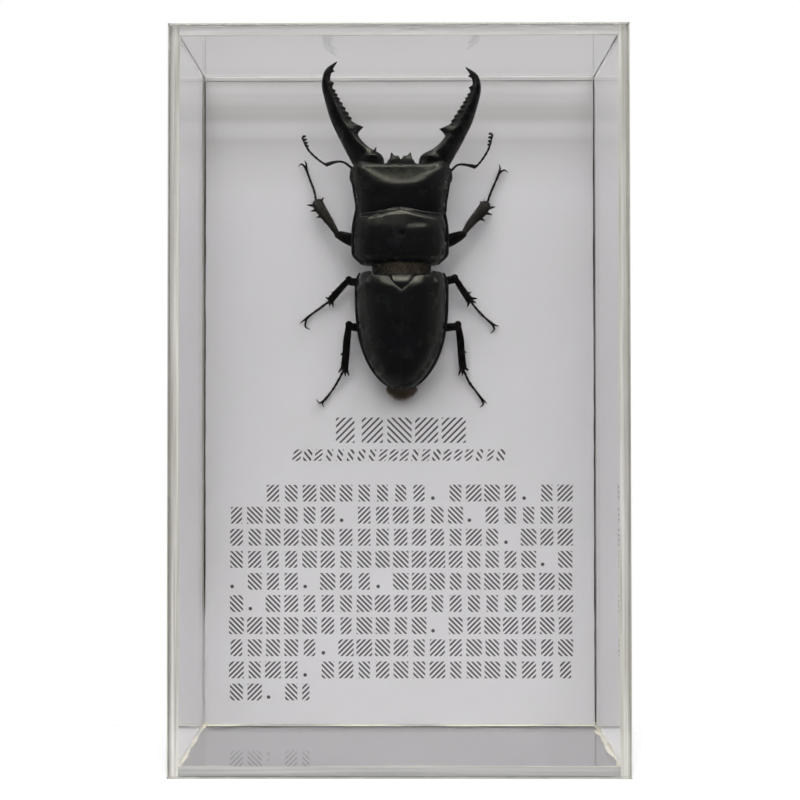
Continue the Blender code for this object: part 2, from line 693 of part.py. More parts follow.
def antenna(scape, whip, leaf_side):
    """Antenna: a long first joint, a row of beads, and a club of leaves."""
    shapes = [
        limb(scape, SCAPE_RADII, SCAPE_RADII, 6, 7),
        beads(whip, *WHIP_RADII, WHIP_BEADS, 5),
    ]
    for leaf in range(CLUB_LEAVES):
        root = on_curve(whip, (len(whip) - 1) * (CLUB_FROM + CLUB_STEP * leaf))
        tip = (root[0] + leaf_side * LEAF_LENGTH, root[1] + LEAF_RISE, root[2])
        middle = on_curve((root, tip), 0.5)
        shapes.append(limb((root, middle, tip), (0.2, 0.26, 0.2), (0.25, 0.4, 0.25), 4, 3))
    return shapes


def leg(thigh, thigh_radii, shin, shin_radii, spines, foot, claws):
    """Leg from the body outwards: thigh, spined shin, jointed foot and two claws."""
    shapes = [
        limb(thigh, thigh_radii, [0.8 * radius for radius in thigh_radii], 8, 5),
        limb(shin, shin_radii, [0.42 + 0.16 * radius for radius in shin_radii], 6, 6),
        beads(foot, *FOOT_RADII, FOOT_JOINTS),
    ]
    shapes += [spike(root, tip, SPINE_RADIUS) for root, tip in spines]
    shapes += [limb(claw, CLAW_RADII, CLAW_RADII, 4, 4) for claw in claws]
    return shapes


def sheet(name, low, high, finish):
    """Flat sheet between two opposite corners."""
    corners = [(x, y, z) for z in (low[2], high[2]) for y in (low[1], high[1]) for x in (low[0], high[0])]
    faces = [[0, 2, 3, 1], [4, 5, 7, 6], [0, 1, 5, 4], [2, 6, 7, 3], [0, 4, 6, 2], [1, 3, 7, 5]]
    return new_node(name, (corners, faces), finish, smooth=False)


def build_box():
    """Front panel, back plate and four walls, and the card on the back plate."""
    half_x, half_y = BOX_WIDTH / 2, BOX_DEPTH / 2
    inner_x, inner_y = half_x - SHEET, half_y - SHEET
    wall_y = inner_y - CEMENT
    sheet("front_panel", (-half_x, -half_y, 0), (half_x, -inner_y, BOX_HEIGHT), CLEAR)
    sheet("back_plate", (-half_x, inner_y, 0), (half_x, half_y, BOX_HEIGHT), CLEAR)
    sheet("left_wall", (-half_x, -wall_y, 0), (-inner_x, wall_y, BOX_HEIGHT), CLEAR)
    sheet("right_wall", (inner_x, -wall_y, 0), (half_x, wall_y, BOX_HEIGHT), CLEAR)
    end_x = inner_x - CEMENT
    sheet("bottom_wall", (-end_x, -wall_y, 0), (end_x, wall_y, SHEET), CLEAR)
    sheet("top_wall", (-end_x, -wall_y, BOX_HEIGHT - SHEET), (end_x, wall_y, BOX_HEIGHT), CLEAR)
    sheet(
        "card",
        (-end_x, card_front(), SHEET + CEMENT),
        (end_x, card_front() + CARD_THICKNESS, BOX_HEIGHT - SHEET - CEMENT),
        PAPER,
    )


def card_front():
    """Distance of the card's printed face behind the middle of the box."""
    return BOX_DEPTH / 2 - SHEET - CEMENT - CARD_THICKNESS


def build_beetle():
    """The beetle's parts, all carried by one empty on the card."""
    stand = bpy.data.objects.new("beetle", None)
    stand.location = (BEETLE_X * MM, card_front() * MM, BEETLE_Z * MM)
    stand.rotation_euler = (math.radians(90), 0.0, 0.0)
    bpy.context.scene.collection.objects.link(stand)

    new_node("wing_case_right", wing_case(), CHITIN, stand)
    new_node("wing_case_left", mirrored(wing_case()), CHITIN, stand)
    new_node("scutellum", scutellum(), CHITIN, stand)
    new_node("hindbody", hindbody(), BROWN, stand)
    new_node("pronotum", pronotum(), CHITIN, stand)
    head_shapes = [moved(shape, HEAD_X, 0.0) for shape in (head(), clypeus(), eye(1), eye(-1))]
    fused_node("head", head_shapes, CHITIN, stand)
    new_node("jaw_right", shortened(jaw(), JAW_OUTER[0][1], RIGHT_JAW_REACH), CHITIN, stand)
    new_node("jaw_left", mirrored(jaw()), CHITIN, stand)
    for name, routes in ANTENNAE.items():
        fused_node(name, antenna(**routes), CHITIN, stand)
    for name, routes in LEGS.items():
        fused_node(name, leg(**routes), BROWN, stand)


clear_scene()
build_box()
build_beetle()
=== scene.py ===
"""Looks of a dried flat stag beetle on its printed card, in a display box of clear acrylic.

Blender 4.5. The solids of the frame give every place and size. Lengths here are millimetres,
and MeshStock turns them into metres. The beetle's own parts are drawn as it lies: x to its
right, y towards its head and z up from the card.
"""

import logging
import math
from collections.abc import Callable, Sequence
from dataclasses import dataclass, field
from enum import Enum
from typing import Any

import bmesh
import bpy
import numpy as np
from mathutils import Matrix, Vector

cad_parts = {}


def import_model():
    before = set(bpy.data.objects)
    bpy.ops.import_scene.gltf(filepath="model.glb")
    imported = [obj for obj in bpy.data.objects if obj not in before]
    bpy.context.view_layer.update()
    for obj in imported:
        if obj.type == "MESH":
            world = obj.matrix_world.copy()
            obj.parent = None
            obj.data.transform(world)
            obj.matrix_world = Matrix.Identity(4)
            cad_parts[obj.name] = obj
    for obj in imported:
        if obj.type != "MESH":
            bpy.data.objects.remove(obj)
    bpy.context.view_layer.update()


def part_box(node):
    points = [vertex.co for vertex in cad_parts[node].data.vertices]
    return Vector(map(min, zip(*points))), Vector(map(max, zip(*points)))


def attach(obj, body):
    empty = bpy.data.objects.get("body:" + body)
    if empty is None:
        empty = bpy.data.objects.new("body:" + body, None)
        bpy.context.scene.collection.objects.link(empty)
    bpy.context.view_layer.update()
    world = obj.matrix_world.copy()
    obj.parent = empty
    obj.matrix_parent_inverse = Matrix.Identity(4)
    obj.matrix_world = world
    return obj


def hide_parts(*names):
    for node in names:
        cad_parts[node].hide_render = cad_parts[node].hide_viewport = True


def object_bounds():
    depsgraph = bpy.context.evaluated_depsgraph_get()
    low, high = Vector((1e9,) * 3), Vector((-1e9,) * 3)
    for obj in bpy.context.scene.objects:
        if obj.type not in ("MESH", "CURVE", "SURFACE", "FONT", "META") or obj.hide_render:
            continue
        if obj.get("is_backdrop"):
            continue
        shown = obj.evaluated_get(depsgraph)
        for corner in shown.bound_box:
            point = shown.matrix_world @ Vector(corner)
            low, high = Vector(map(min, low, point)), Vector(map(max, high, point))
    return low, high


LOG = logging.getLogger("stag_beetle_box")
MM = 0.001
BODY = "root"
MATH = "ShaderNodeMath"
# Cosine of 45 degrees, at which the card's hatch leans.
DIAGONAL = 0.7071

Array = np.ndarray
Material = bpy.types.Material
Tree = bpy.types.NodeTree
Node = bpy.types.Node
Socket = bpy.types.NodeSocket
Knots = Sequence[tuple[float, float]]
Point = tuple[float, float, float]


class Side(Enum):
    """Which side of the beetle a part is on, as seen from the front of the box."""

    LEFT = -1
    RIGHT = 1


class Slot(Enum):
    """The record's material slots."""

    ACRYLIC = "clear_acrylic"
    CARD = "white_card"
    BLACK = "black_chitin"
    BROWN = "brown_chitin"


def linear(hex_colour: str, alpha: float = 1.0) -> tuple[float, float, float, float]:
    """Linear colour of an sRGB hex value.

    Args:
        hex_colour: Six hex digits with a leading hash.
        alpha: Fourth value of the result.

    Returns:
        Red, green, blue and alpha for a colour socket.
    """
    shares = [int(hex_colour[start : start + 2], 16) / 255 for start in (1, 3, 5)]
    red, green, blue = (
        share / 12.92 if share <= 0.04045 else ((share + 0.055) / 1.055) ** 2.4 for share in shares
    )
    return red, green, blue, alpha


def add_node(tree: Tree, kind: str, inputs: dict[Any, Any] | tuple[Any, ...] = (), **settings: Any) -> Node:
    """Add a node with its settings, values and links.

    Args:
        tree: Node tree that takes the node.
        kind: Blender's name of the node type.
        inputs: Input name or index to a value, or to the socket or node that feeds it, or such
            values for the first inputs in turn. A node feeds by its first output.
        settings: Properties of the node.

    Returns:
        The new node.
    """
    node = tree.nodes.new(kind)
    for key, value in settings.items():
        setattr(node, key, value)
    for key, value in inputs.items() if isinstance(inputs, dict) else enumerate(inputs):
        source = value.outputs[0] if isinstance(value, Node) else value
        if isinstance(source, Socket):
            tree.links.new(source, node.inputs[key])
        else:
            node.inputs[key].default_value = source
    return node


class Curve:
    """Smooth curve through (place, value) knots, level past its ends."""

    def __init__(self, knots: Knots) -> None:
        """Work out the slope at each knot.

        Args:
            knots: Pairs of place and value, in rising order of place.
        """
        self.places, self.values = np.array(knots, float).T
        rise = np.diff(self.values) / np.diff(self.places)
        inner = (self.values[2:] - self.values[:-2]) / (self.places[2:] - self.places[:-2])
        self.slopes = np.concatenate(([rise[0]], inner, [rise[-1]]))

    def at(self, place: Any) -> Array:
        """Values of the curve at one place or many.

        Args:
            place: Number or array of places.

        Returns:
            Array of the values there.
        """
        place = np.clip(place, self.places[0], self.places[-1])
        index = np.searchsorted(self.places, place, side="right") - 1
        index = np.clip(index, 0, len(self.places) - 2)
        width = self.places[index + 1] - self.places[index]
        t = (place - self.places[index]) / width
        return (
            (2 * t**3 - 3 * t**2 + 1) * self.values[index]
            + (t**3 - 2 * t**2 + t) * width * self.slopes[index]
            + (3 * t**2 - 2 * t**3) * self.values[index + 1]
            + (t**3 - t**2) * width * self.slopes[index + 1]
        )


class Route:
    """Smooth line through points in space; point k is at place k."""

    def __init__(self, points: Sequence[Sequence[float]]) -> None:
        """Keep one curve for each axis.

        Args:
            points: The points that the route passes.
        """
        self.last = len(points) - 1
        self.axes = [Curve(list(enumerate(axis))) for axis in zip(*points)]

    def at(self, place: Any) -> Array:
        """Points of the route at one place or many, with the axes last."""
        return np.stack([axis.at(place) for axis in self.axes], -1)

    def sideways(self, place: Any) -> Array:
        """Unit vectors level with the card and square to the route, to its right.

        Args:
            place: Place on the route, or many.

        Returns:
            The vectors.
        """
        reach = 0.05
        ahead = self.at(np.minimum(self.last, np.asarray(place) + reach))
        run = (ahead - self.at(np.maximum(0.0, np.asarray(place) - reach)))[..., :2]
        run = run / np.linalg.norm(run, axis=-1, keepdims=True)
        return np.stack([run[..., 1], -run[..., 0], np.zeros(run.shape[:-1])], -1)


def dome(share: Any, power: float, root: float) -> Array:
    """Height share of a dome, 1 in the middle and 0 at share 1 or past it."""
    return (1.0 - np.minimum(1.0, np.abs(share)) ** power) ** (1.0 / root)


def ease(value: Any, start: float, end: float) -> Array:
    """Smooth step from 0 at start to 1 at end."""
    t = np.clip((np.asarray(value, float) - start) / (end - start), 0.0, 1.0)
    return t * t * (3.0 - 2.0 * t)


def bump(value: Any, centre: float, width: float) -> Array:
    """Bell curve, 1 at its centre."""
    return np.exp(-(((np.asarray(value, float) - centre) / width) ** 2))


def roll_off(distance: Any, reach: float) -> Array:
    """Share of an edge's fall: 1 at the edge and 0 from reach on."""
    return np.maximum(0.0, 1.0 - np.asarray(distance, float) / reach) ** 2


@dataclass
class Shape:
    """Points in millimetres, and faces that list them."""

    points: Array
    faces: list[list[int]]

    def mirrored(self) -> "Shape":
        """The shape in a mirror across x = 0, with its faces still pointing out."""
        return Shape(self.points * (-1.0, 1.0, 1.0), [face[::-1] for face in self.faces])

    def moved(self, x: float) -> "Shape":
        """The shape shifted across by x."""
        return Shape(self.points + (x, 0.0, 0.0), self.faces)

    def on(self, side: Side) -> "Shape":
        """The shape as built for the right side, or mirrored for the left."""
        return self if side is Side.RIGHT else self.mirrored()


def closed_sheets(upper: Array, lower: Array) -> Shape:
    """Closed shape between two grids of points, joined along their rims.

    Args:
        upper: Array of rows, columns and axes that faces outwards.
        lower: The same for the other side.

    Returns:
        The closed shape.
    """
    tall, wide = upper.shape[:2]
    count = tall * wide
    grid = np.arange(count).reshape(tall, wide)
    cells = np.stack([grid[:-1, :-1], grid[:-1, 1:], grid[1:, 1:], grid[1:, :-1]], -1).reshape(-1, 4)
    faces = cells.tolist() + (cells[:, ::-1] + count).tolist()
    rim = np.concatenate([grid[0, :-1], grid[:-1, -1], grid[-1, :0:-1], grid[:0:-1, 0]])
    ahead = np.roll(rim, -1)
    faces += np.stack([rim, rim + count, ahead + count, ahead], -1).tolist()
    return Shape(np.concatenate([upper, lower]).reshape(-1, 3), faces)


def relief(
    columns: Array,
    rows: Array,
    plan: Callable[..., tuple[Array, Array]],
    top: Callable[..., Array],
    under: Callable[..., Array],
) -> Shape:
    """Closed plate between an upper and a lower surface over one plan grid.

    Args:
        columns: Values of s across the plate.
        rows: Values of t along it, so that y rises with them.
        plan: Gives x and y for s and t.
        top: Gives the upper height for x, y and s.
        under: Gives the lower height for x, y and s.

    Returns:
        The closed shape.
    """
    s, t = np.meshgrid(columns, rows)
    x, y = plan(s, t)
    return closed_sheets(np.stack([x, y, top(x, y, s)], -1), np.stack([x, y, under(x, y, s)], -1))


def lofted(rings: Array) -> Shape:
    """Closed shape through rings of equal length.

    Args:
        rings: Array of rings, points and axes; each ring runs from its right side over the top.

    Returns:
        The closed shape, with flat ends.
    """
    count, sides = rings.shape[:2]
    grid = np.arange(count * sides).reshape(count, sides)
    ahead = np.roll(grid, -1, axis=1)
    sheet = np.stack([grid[:-1], grid[1:], ahead[1:], ahead[:-1]], -1).reshape(-1, 4)
    faces = sheet.tolist() + [grid[0].tolist(), grid[-1, ::-1].tolist()]
    return Shape(rings.reshape(-1, 3), faces)


def limb(
    route: Route,
    half_widths: Sequence[float],
    half_heights: Sequence[float],
    sides: int = 14,
    stations: int = 24,
    furrow: float = 0.0,
) -> Shape:
    """Rounded tube along a route.

    Args:
        route: Line through the middle of the tube.
        half_widths: Half width at each point of the route.
        half_heights: Half height at each point of the route.
        sides: Points round each ring.
        stations: Rings along the route, more of them near its ends.
        furrow: Share of the height that a furrow along the top takes away.

    Returns:
        The tube, with round ends.
    """
    share = 0.5 - 0.5 * np.cos(np.linspace(0.0, math.pi, stations))
    place = route.last * share
    points = route.at(place)
    steps = np.linalg.norm(np.diff(points, axis=0), axis=1)
    run = np.concatenate([[0.0], np.cumsum(steps)])
    wide = Curve(list(enumerate(half_widths))).at(place)
    high = Curve(list(enumerate(half_heights))).at(place)
    to_end = np.minimum(run, run[-1] - run) / np.maximum(wide, 1e-6)
    round_off = np.sqrt(np.clip(1.0 - (1.0 - np.minimum(1.0, to_end)) ** 2, 0.01, 1.0))
    turn = 2.0 * math.pi * (np.arange(sides) + 0.5) / sides
    level = np.sin(turn) * (1.0 - furrow * bump(turn, 0.5 * math.pi, 0.45))
    out = (wide * round_off)[:, None] * np.cos(turn)
    rings = points[:, None, :] + out[..., None] * route.sideways(place)[:, None, :]
    rings[..., 2] += (high * round_off)[:, None] * level
    return lofted(rings)


def spine(root: Point, tip: Point, radius: float, bend: float = 0.12) -> Shape:
    """Curved, tapered spine from a root inside the limb to its tip.

    Args:
        root: Where it starts.
        tip: Where it ends.
        radius: Half its width at the root.
        bend: Share of its length by which it bows up.

    Returns:
        The spine.
    """
    start, end = np.array(root), np.array(tip)
    middle = 0.5 * (start + end)
    middle[2] += bend * np.linalg.norm(end - start)
    radii = (radius, 0.66 * radius, 0.08)
    return limb(Route([start, middle, end]), radii, radii, 10, 9)


def ball(centre: Point, radii: Point, rings: int = 18, sides: int = 24) -> Shape:
    """Rounded body about a centre.

    Args:
        centre: Its middle.
        radii: Half its size along x, y and z.
        rings: Rings from end to end.
        sides: Points round each ring.

    Returns:
        The body.
    """
    rise = np.linspace(-0.999, 0.999, rings) * 0.5 * math.pi
    turn = 2.0 * math.pi * np.arange(sides) / sides
    x = np.cos(rise)[:, None] * np.cos(turn)
    z = np.cos(rise)[:, None] * np.sin(turn)
    y = np.sin(rise)[:, None] * np.ones(sides)
    return lofted(np.array(centre) + np.stack([x, y, z], -1) * radii)


@dataclass
class MeshStock:
    """Shapes that together make one piece of the scene."""

    name: str
    points: list[Array] = field(default_factory=list)
    faces: list[list[int]] = field(default_factory=list)
    count: int = 0

    def add(self, *shapes: Shape) -> None:
        """Take in shapes.

        Args:
            shapes: What the piece is made of, in turn.
        """
        for shape in shapes:
            self.points.append(shape.points)
            self.faces.extend([index + self.count for index in face] for face in shape.faces)
            self.count += len(shape.points)

    def piece(
        self, material: Material, slot: Slot, *nodes: str, sharp_degrees: float = 50.0
    ) -> bpy.types.Object:
        """Turn the shapes into a piece that rides on the part.

        Args:
            material: Finish of the piece.
            slot: Material slot of the record; not used.
            nodes: Solids of the frame that the piece stands for.
            sharp_degrees: Edges sharper than this stay crisp; 0 keeps every face flat.

        Returns:
            The piece.
        """
        mesh = bpy.data.meshes.new(self.name)
        mesh.from_pydata((np.concatenate(self.points) * MM).tolist(), [], self.faces)
        mesh.validate()
        if sharp_degrees:
            mesh.shade_smooth()
            mesh.set_sharp_from_angle(angle=math.radians(sharp_degrees))
        mesh.materials.append(material)
        piece = bpy.data.objects.new(self.name, mesh)
        bpy.context.scene.collection.objects.link(piece)
        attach(piece, BODY)
        if nodes:
            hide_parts(*nodes)
        LOG.info("%s: %d faces", self.name, len(mesh.polygons))
        return piece


@dataclass(frozen=True)
class Finish:
    """A surface finish, from which a material is made."""

    name: str

    def begin(self, sockets: dict[str, Any]) -> tuple[Material, Tree, Node, Socket]:
        """Start a node material.

        Args:
            sockets: Values that are the same all over, by the name of the shader's own socket.

        Returns:
            The material, its tree, its shader, and the place on the object in metres.
        """
        material = bpy.data.materials.new(self.name)
        material.use_nodes = True
        tree = material.node_tree
        shader = tree.nodes["Principled BSDF"]
        for socket, value in sockets.items():
            shader.inputs[socket].default_value = value
        return material, tree, shader, add_node(tree, "ShaderNodeTexCoord").outputs["Object"]


@dataclass(frozen=True)
class ClearAcrylic(Finish):
    """Cast acrylic sheet, laser-flat and polished: clear, glossy, with a slow wave in it.

    The wave bends what is seen by grazing light, so edges look a little drawn out, and a
    trace of absorption greys the long way through an edge.
    """

    name: str = "cast acrylic sheet"
    ior: float = 1.49
    tint: str = "#FEFDFE"
    wave_mm: float = 14.0
    wave_height_mm: float = 0.006
    absorption: str = "#CFCBC0"
    absorption_per_m: float = 10.0

    def material(self) -> Material:
        """Make a clear dielectric with a slow wave.

        Returns:
            The material.
        """
        material, tree, shader, place = self.begin({
            "Base Color": linear(self.tint), "Roughness": 0.0, "IOR": self.ior, "Transmission Weight": 1.0,
        })
        wave = add_node(
            tree, "ShaderNodeTexNoise", {"Vector": place, "Scale": 1.0 / (self.wave_mm * MM), "Detail": 1.0}
        )
        bent = add_node(
            tree, "ShaderNodeBump", {"Height": wave, "Strength": 1.0, "Distance": self.wave_height_mm * MM}
        )
        tree.links.new(bent.outputs["Normal"], shader.inputs["Normal"])
        inside = add_node(
            tree, "ShaderNodeVolumeAbsorption",
            {"Color": linear(self.absorption), "Density": self.absorption_per_m},
        )
        tree.links.new(inside.outputs["Volume"], tree.nodes["Material Output"].inputs["Volume"])
        return material


@dataclass(frozen=True)
class SolventCement(Finish):
    """Dried solvent cement in a joint: milky, softly shining, uneven where it ran."""

    name: str = "dried solvent cement"
    milky: str = "#FFFCEB"
    clearer: str = "#EDEAD6"
    cloud_mm: float = 1.6
    roughness: float = 0.22
    clearness: float = 0.12
    ior: float = 1.47
    ripple_mm: float = 0.08

    def material(self) -> Material:
        """Make a half clear, half milky gloss.

        Returns:
            The material.
        """
        material, tree, shader, place = self.begin({
            "Roughness": self.roughness, "IOR": self.ior, "Transmission Weight": self.clearness,
        })
        cloud = add_node(
            tree, "ShaderNodeTexNoise", {"Vector": place, "Scale": 1.0 / (self.cloud_mm * MM), "Detail": 4.0}
        )
        tone = add_node(
            tree, "ShaderNodeMix", {"Factor": cloud, "A": linear(self.clearer), "B": linear(self.milky)},
            data_type="RGBA",
        )
        tree.links.new(tone.outputs["Result"], shader.inputs["Base Color"])
        ripple = add_node(
            tree, "ShaderNodeBump", {"Height": cloud, "Strength": 0.6, "Distance": self.ripple_mm * MM}
        )
        tree.links.new(ripple.outputs["Normal"], shader.inputs["Normal"])
        return material


@dataclass(frozen=True)
class JointFilm(Finish):
    """Cement film between a panel and the edge of a wall: milky grey-beige, in long streaks.

    The cement was drawn along the edge as the sheets were pressed together. It is darker
    towards the outside: painted shade, for the dark outline of the box's edges.
    """

    name: str = "cement film"
    axis: int = 0
    middle: float = 0.0
    half: float = 47.5
    pale: str = "#F6F5F1"
    grey: str = "#C3C1B8"
    painted_outer_shade: str = "#A7A59B"
    streak_mm: float = 0.55
    run_mm: float = 34.0
    painted_shade_mm: float = 0.7
    roughness: float = 0.5
    clearness: float = 0.12
    ior: float = 1.47

    def material(self) -> Material:
        """Make a milky film with streaks that run along it, and painted shade towards its outer edge.

        Returns:
            The material.
        """
        material, tree, shader, place = self.begin({
            "Roughness": self.roughness, "IOR": self.ior, "Transmission Weight": self.clearness,
        })
        fine, long = 1.0 / (self.streak_mm * MM), 1.0 / (self.run_mm * MM)
        scale = [fine if axis == self.axis else long for axis in range(3)]
        drawn = add_node(tree, "ShaderNodeMapping", {"Vector": place, "Scale": scale})
        streak = add_node(tree, "ShaderNodeTexNoise", {"Vector": drawn, "Scale": 1.0, "Detail": 3.0})
        share = add_node(tree, "ShaderNodeMapRange", {"Value": streak, "From Min": 0.32, "From Max": 0.66})
        tone = add_node(
            tree, "ShaderNodeMix", {"Factor": share, "A": linear(self.grey), "B": linear(self.pale)},
            data_type="RGBA",
        )
        # Painted shade: the film turns darker over its outermost part, for the dark outline of the box's
        # edges.
        across = add_node(tree, "ShaderNodeSeparateXYZ", {"Vector": place}).outputs[self.axis]
        shifted = add_node(tree, MATH, (across, self.middle * MM), operation="SUBTRACT")
        off = add_node(tree, MATH, (shifted,), operation="ABSOLUTE")
        outer = add_node(
            tree, "ShaderNodeMapRange",
            {"Value": off, "From Min": (self.half - self.painted_shade_mm) * MM, "From Max": self.half * MM},
        )
        painted_shade = add_node(
            tree, "ShaderNodeMix", {"Factor": outer, "A": tone.outputs["Result"], "B": linear(self.painted_outer_shade)},
            data_type="RGBA",
        )
        tree.links.new(painted_shade.outputs["Result"], shader.inputs["Base Color"])
        return material


@dataclass(frozen=True)
class PrintBlock:
    """A block of plain hatched marks in rows, in millimetres on the card."""

    left: float
    right: float
    top: float
    row_pitch: float
    rows: int
    cell: float
    half_width: float
    half_height: float
    hatch: float
    stroke: float
    slant: float = 0.0
    indent: float = 0.0
    last_short: float = 0.0
    dots: float = 0.0


@dataclass(frozen=True)
class PrintedCard(Finish):
    """Uncoated white card stock with dark grey toner marks: matt, faintly fibrous.

    The marks are squares of slanting hatch, as wide apart as ordinary 12 point print, so from
    a step away the card reads as a label and close up it says nothing. Its top is painted
    darker in faint level bands: painted shade for the shadow of the box's top wall.
    """

    name: str = "uncoated printed card"
    paper: str = "#EDECEE"
    paper_warm: str = "#E9E9E8"
    toner: str = "#1A1A1C"
    # Painted shade: the card's top is mixed towards this grey in faint level bands, for the shadow of the
    # box's top wall.
    painted_shade: str = "#8F8E86"
    top_shade_from: float = 124.0
    top_shade_to: float = 143.0
    top_shade_share: float = 0.46
    streak_mm: float = 4.2
    fibre_mm: float = 0.35
    cloud_mm: float = 22.0
    fibre_height_mm: float = 0.02
    roughness: float = 0.78
    ior: float = 1.45
    uneven_width: float = 0.14
    dot_radius: float = 0.1
    middle_y: float = 0.0
    blocks: tuple[PrintBlock, ...] = ()

    def marks(self, tree: Tree, x: Node, z: Node, block: PrintBlock) -> Node:
        """Mask of one block of marks.

        Args:
            tree: Node tree of the card.
            x: Place across the card in millimetres.
            z: Place up the card in millimetres.
            block: Layout of the marks.

        Returns:
            1 on a stroke and 0 beside it.
        """
        cell, pitch = block.cell, block.row_pitch
        middle = block.top - 0.5 * block.rows * pitch
        upright = add_node(tree, MATH, (z, -block.slant, block.slant * middle), operation="MULTIPLY_ADD")
        across = add_node(tree, MATH, (x, upright), operation="ADD")
        column_at = add_node(tree, MATH, (across, 1 / cell, -block.left / cell), operation="MULTIPLY_ADD")
        row_at = add_node(tree, MATH, (z, -1 / pitch, block.top / pitch), operation="MULTIPLY_ADD")
        column = add_node(tree, MATH, (column_at,), operation="FLOOR")
        row = add_node(tree, MATH, (row_at,), operation="FLOOR")
        in_column = add_node(tree, MATH, (column_at,), operation="FRACT")
        in_row = add_node(tree, MATH, (row_at,), operation="FRACT")
        u = add_node(tree, MATH, (in_column, 0.5), operation="SUBTRACT")
        v = add_node(tree, MATH, (in_row, 0.5), operation="SUBTRACT")
        across_mm = add_node(tree, MATH, (u, cell), operation="MULTIPLY")
        up_mm = add_node(tree, MATH, (v, -pitch), operation="MULTIPLY")
        cell_of = add_node(tree, "ShaderNodeCombineXYZ", {"X": column, "Y": row, "Z": cell})
        chance = add_node(tree, "ShaderNodeTexWhiteNoise", {"Vector": cell_of}, noise_dimensions="3D")
        parts = add_node(tree, "ShaderNodeSeparateColor", {"Color": chance.outputs["Color"]}).outputs
        toss = add_node(tree, MATH, (parts[0], 0.5), operation="SUBTRACT")
        lean = add_node(tree, MATH, (toss,), operation="SIGN")
        slope = add_node(tree, MATH, (up_mm, lean, across_mm), operation="MULTIPLY_ADD")
        phase = add_node(tree, MATH, (slope, DIAGONAL / block.hatch, parts[1]), operation="MULTIPLY_ADD")
        from_line = add_node(tree, MATH, (phase, 0.5), operation="PINGPONG")
        stroke = add_node(tree, MATH, (from_line, 0.5 * block.stroke / block.hatch), operation="LESS_THAN")
        uneven = self.uneven_width * cell
        shade = add_node(tree, MATH, (parts[2], uneven, -uneven), operation="MULTIPLY_ADD")
        reach = add_node(tree, MATH, (shade, block.half_width), operation="ADD")
        off_side = add_node(tree, MATH, (across_mm,), operation="ABSOLUTE")
        off_level = add_node(tree, MATH, (up_mm,), operation="ABSOLUTE")
        within = add_node(tree, MATH, (off_side, reach), operation="LESS_THAN")
        level = add_node(tree, MATH, (off_level, block.half_height), operation="LESS_THAN")
        inside = add_node(tree, MATH, (within, level), operation="MULTIPLY")
        mark = add_node(tree, MATH, (stroke, inside), operation="MULTIPLY")
        if block.dots:
            is_dot = add_node(tree, MATH, (chance, block.dots), operation="LESS_THAN")
            low = add_node(tree, MATH, (up_mm, 0.6 * block.half_height), operation="ADD")
            aside = add_node(tree, MATH, (across_mm, 0.55 * block.half_width), operation="ADD")
            low_square = add_node(tree, MATH, (low, 2.0), operation="POWER")
            aside_square = add_node(tree, MATH, (aside, 2.0), operation="POWER")
            near = add_node(tree, MATH, (low_square, aside_square), operation="ADD")
            dot = add_node(tree, MATH, (near, (self.dot_radius * cell) ** 2), operation="LESS_THAN")
            no_dot = add_node(tree, MATH, (1.0, is_dot), operation="SUBTRACT")
            kept = add_node(tree, MATH, (mark, no_dot), operation="MULTIPLY")
            mark = add_node(tree, MATH, (dot, is_dot, kept), operation="MULTIPLY_ADD")
        first = add_node(tree, MATH, (row, 0.5), operation="LESS_THAN")
        final = add_node(tree, MATH, (row, block.rows - 1.5), operation="GREATER_THAN")
        start = add_node(tree, MATH, (first, block.indent, block.left), operation="MULTIPLY_ADD")
        end = add_node(tree, MATH, (final, -block.last_short, block.right), operation="MULTIPLY_ADD")
        for value, operation, limit in (
            (across, "GREATER_THAN", start), (across, "LESS_THAN", end),
            (row, "GREATER_THAN", -0.5), (row, "LESS_THAN", block.rows - 0.5),
        ):
            kept = add_node(tree, MATH, (value, limit), operation=operation)
            mark = add_node(tree, MATH, (mark, kept), operation="MULTIPLY")
        return mark

    def material(self) -> Material:
        """Make a matt card with its marks.

        Returns:
            The material.
        """
        material, tree, shader, place = self.begin({"Roughness": self.roughness, "IOR": self.ior})
        axes = add_node(tree, "ShaderNodeSeparateXYZ", {"Vector": place})
        x = add_node(tree, MATH, (axes.outputs["X"], 1 / MM), operation="MULTIPLY")
        z = add_node(tree, MATH, (axes.outputs["Z"], 1 / MM), operation="MULTIPLY")
        ink: Any = 0.0
        for block in self.blocks:
            ink = add_node(tree, MATH, (self.marks(tree, x, z, block), ink), operation="MAXIMUM")
        in_front = add_node(tree, MATH, (axes.outputs["Y"], self.middle_y * MM), operation="LESS_THAN")
        ink = add_node(tree, MATH, (ink, in_front), operation="MULTIPLY")
        cloud = add_node(
            tree, "ShaderNodeTexNoise", {"Vector": place, "Scale": 1.0 / (self.cloud_mm * MM), "Detail": 2.0}
        )
        fibre = add_node(
            tree, "ShaderNodeTexNoise",
            {"Vector": place, "Scale": 1.0 / (self.fibre_mm * MM), "Detail": 3.0, "Roughness": 0.6},
        )
        stock = add_node(
            tree, "ShaderNodeMix", {"Factor": cloud, "A": linear(self.paper), "B": linear(self.paper_warm)},
            data_type="RGBA",
        )
        taken = add_node(tree, MATH, (fibre, 0.3, 0.74), operation="MULTIPLY_ADD")
        full = add_node(tree, MATH, (taken, 1.0), operation="MINIMUM")
        cover = add_node(tree, MATH, (ink, full), operation="MULTIPLY")
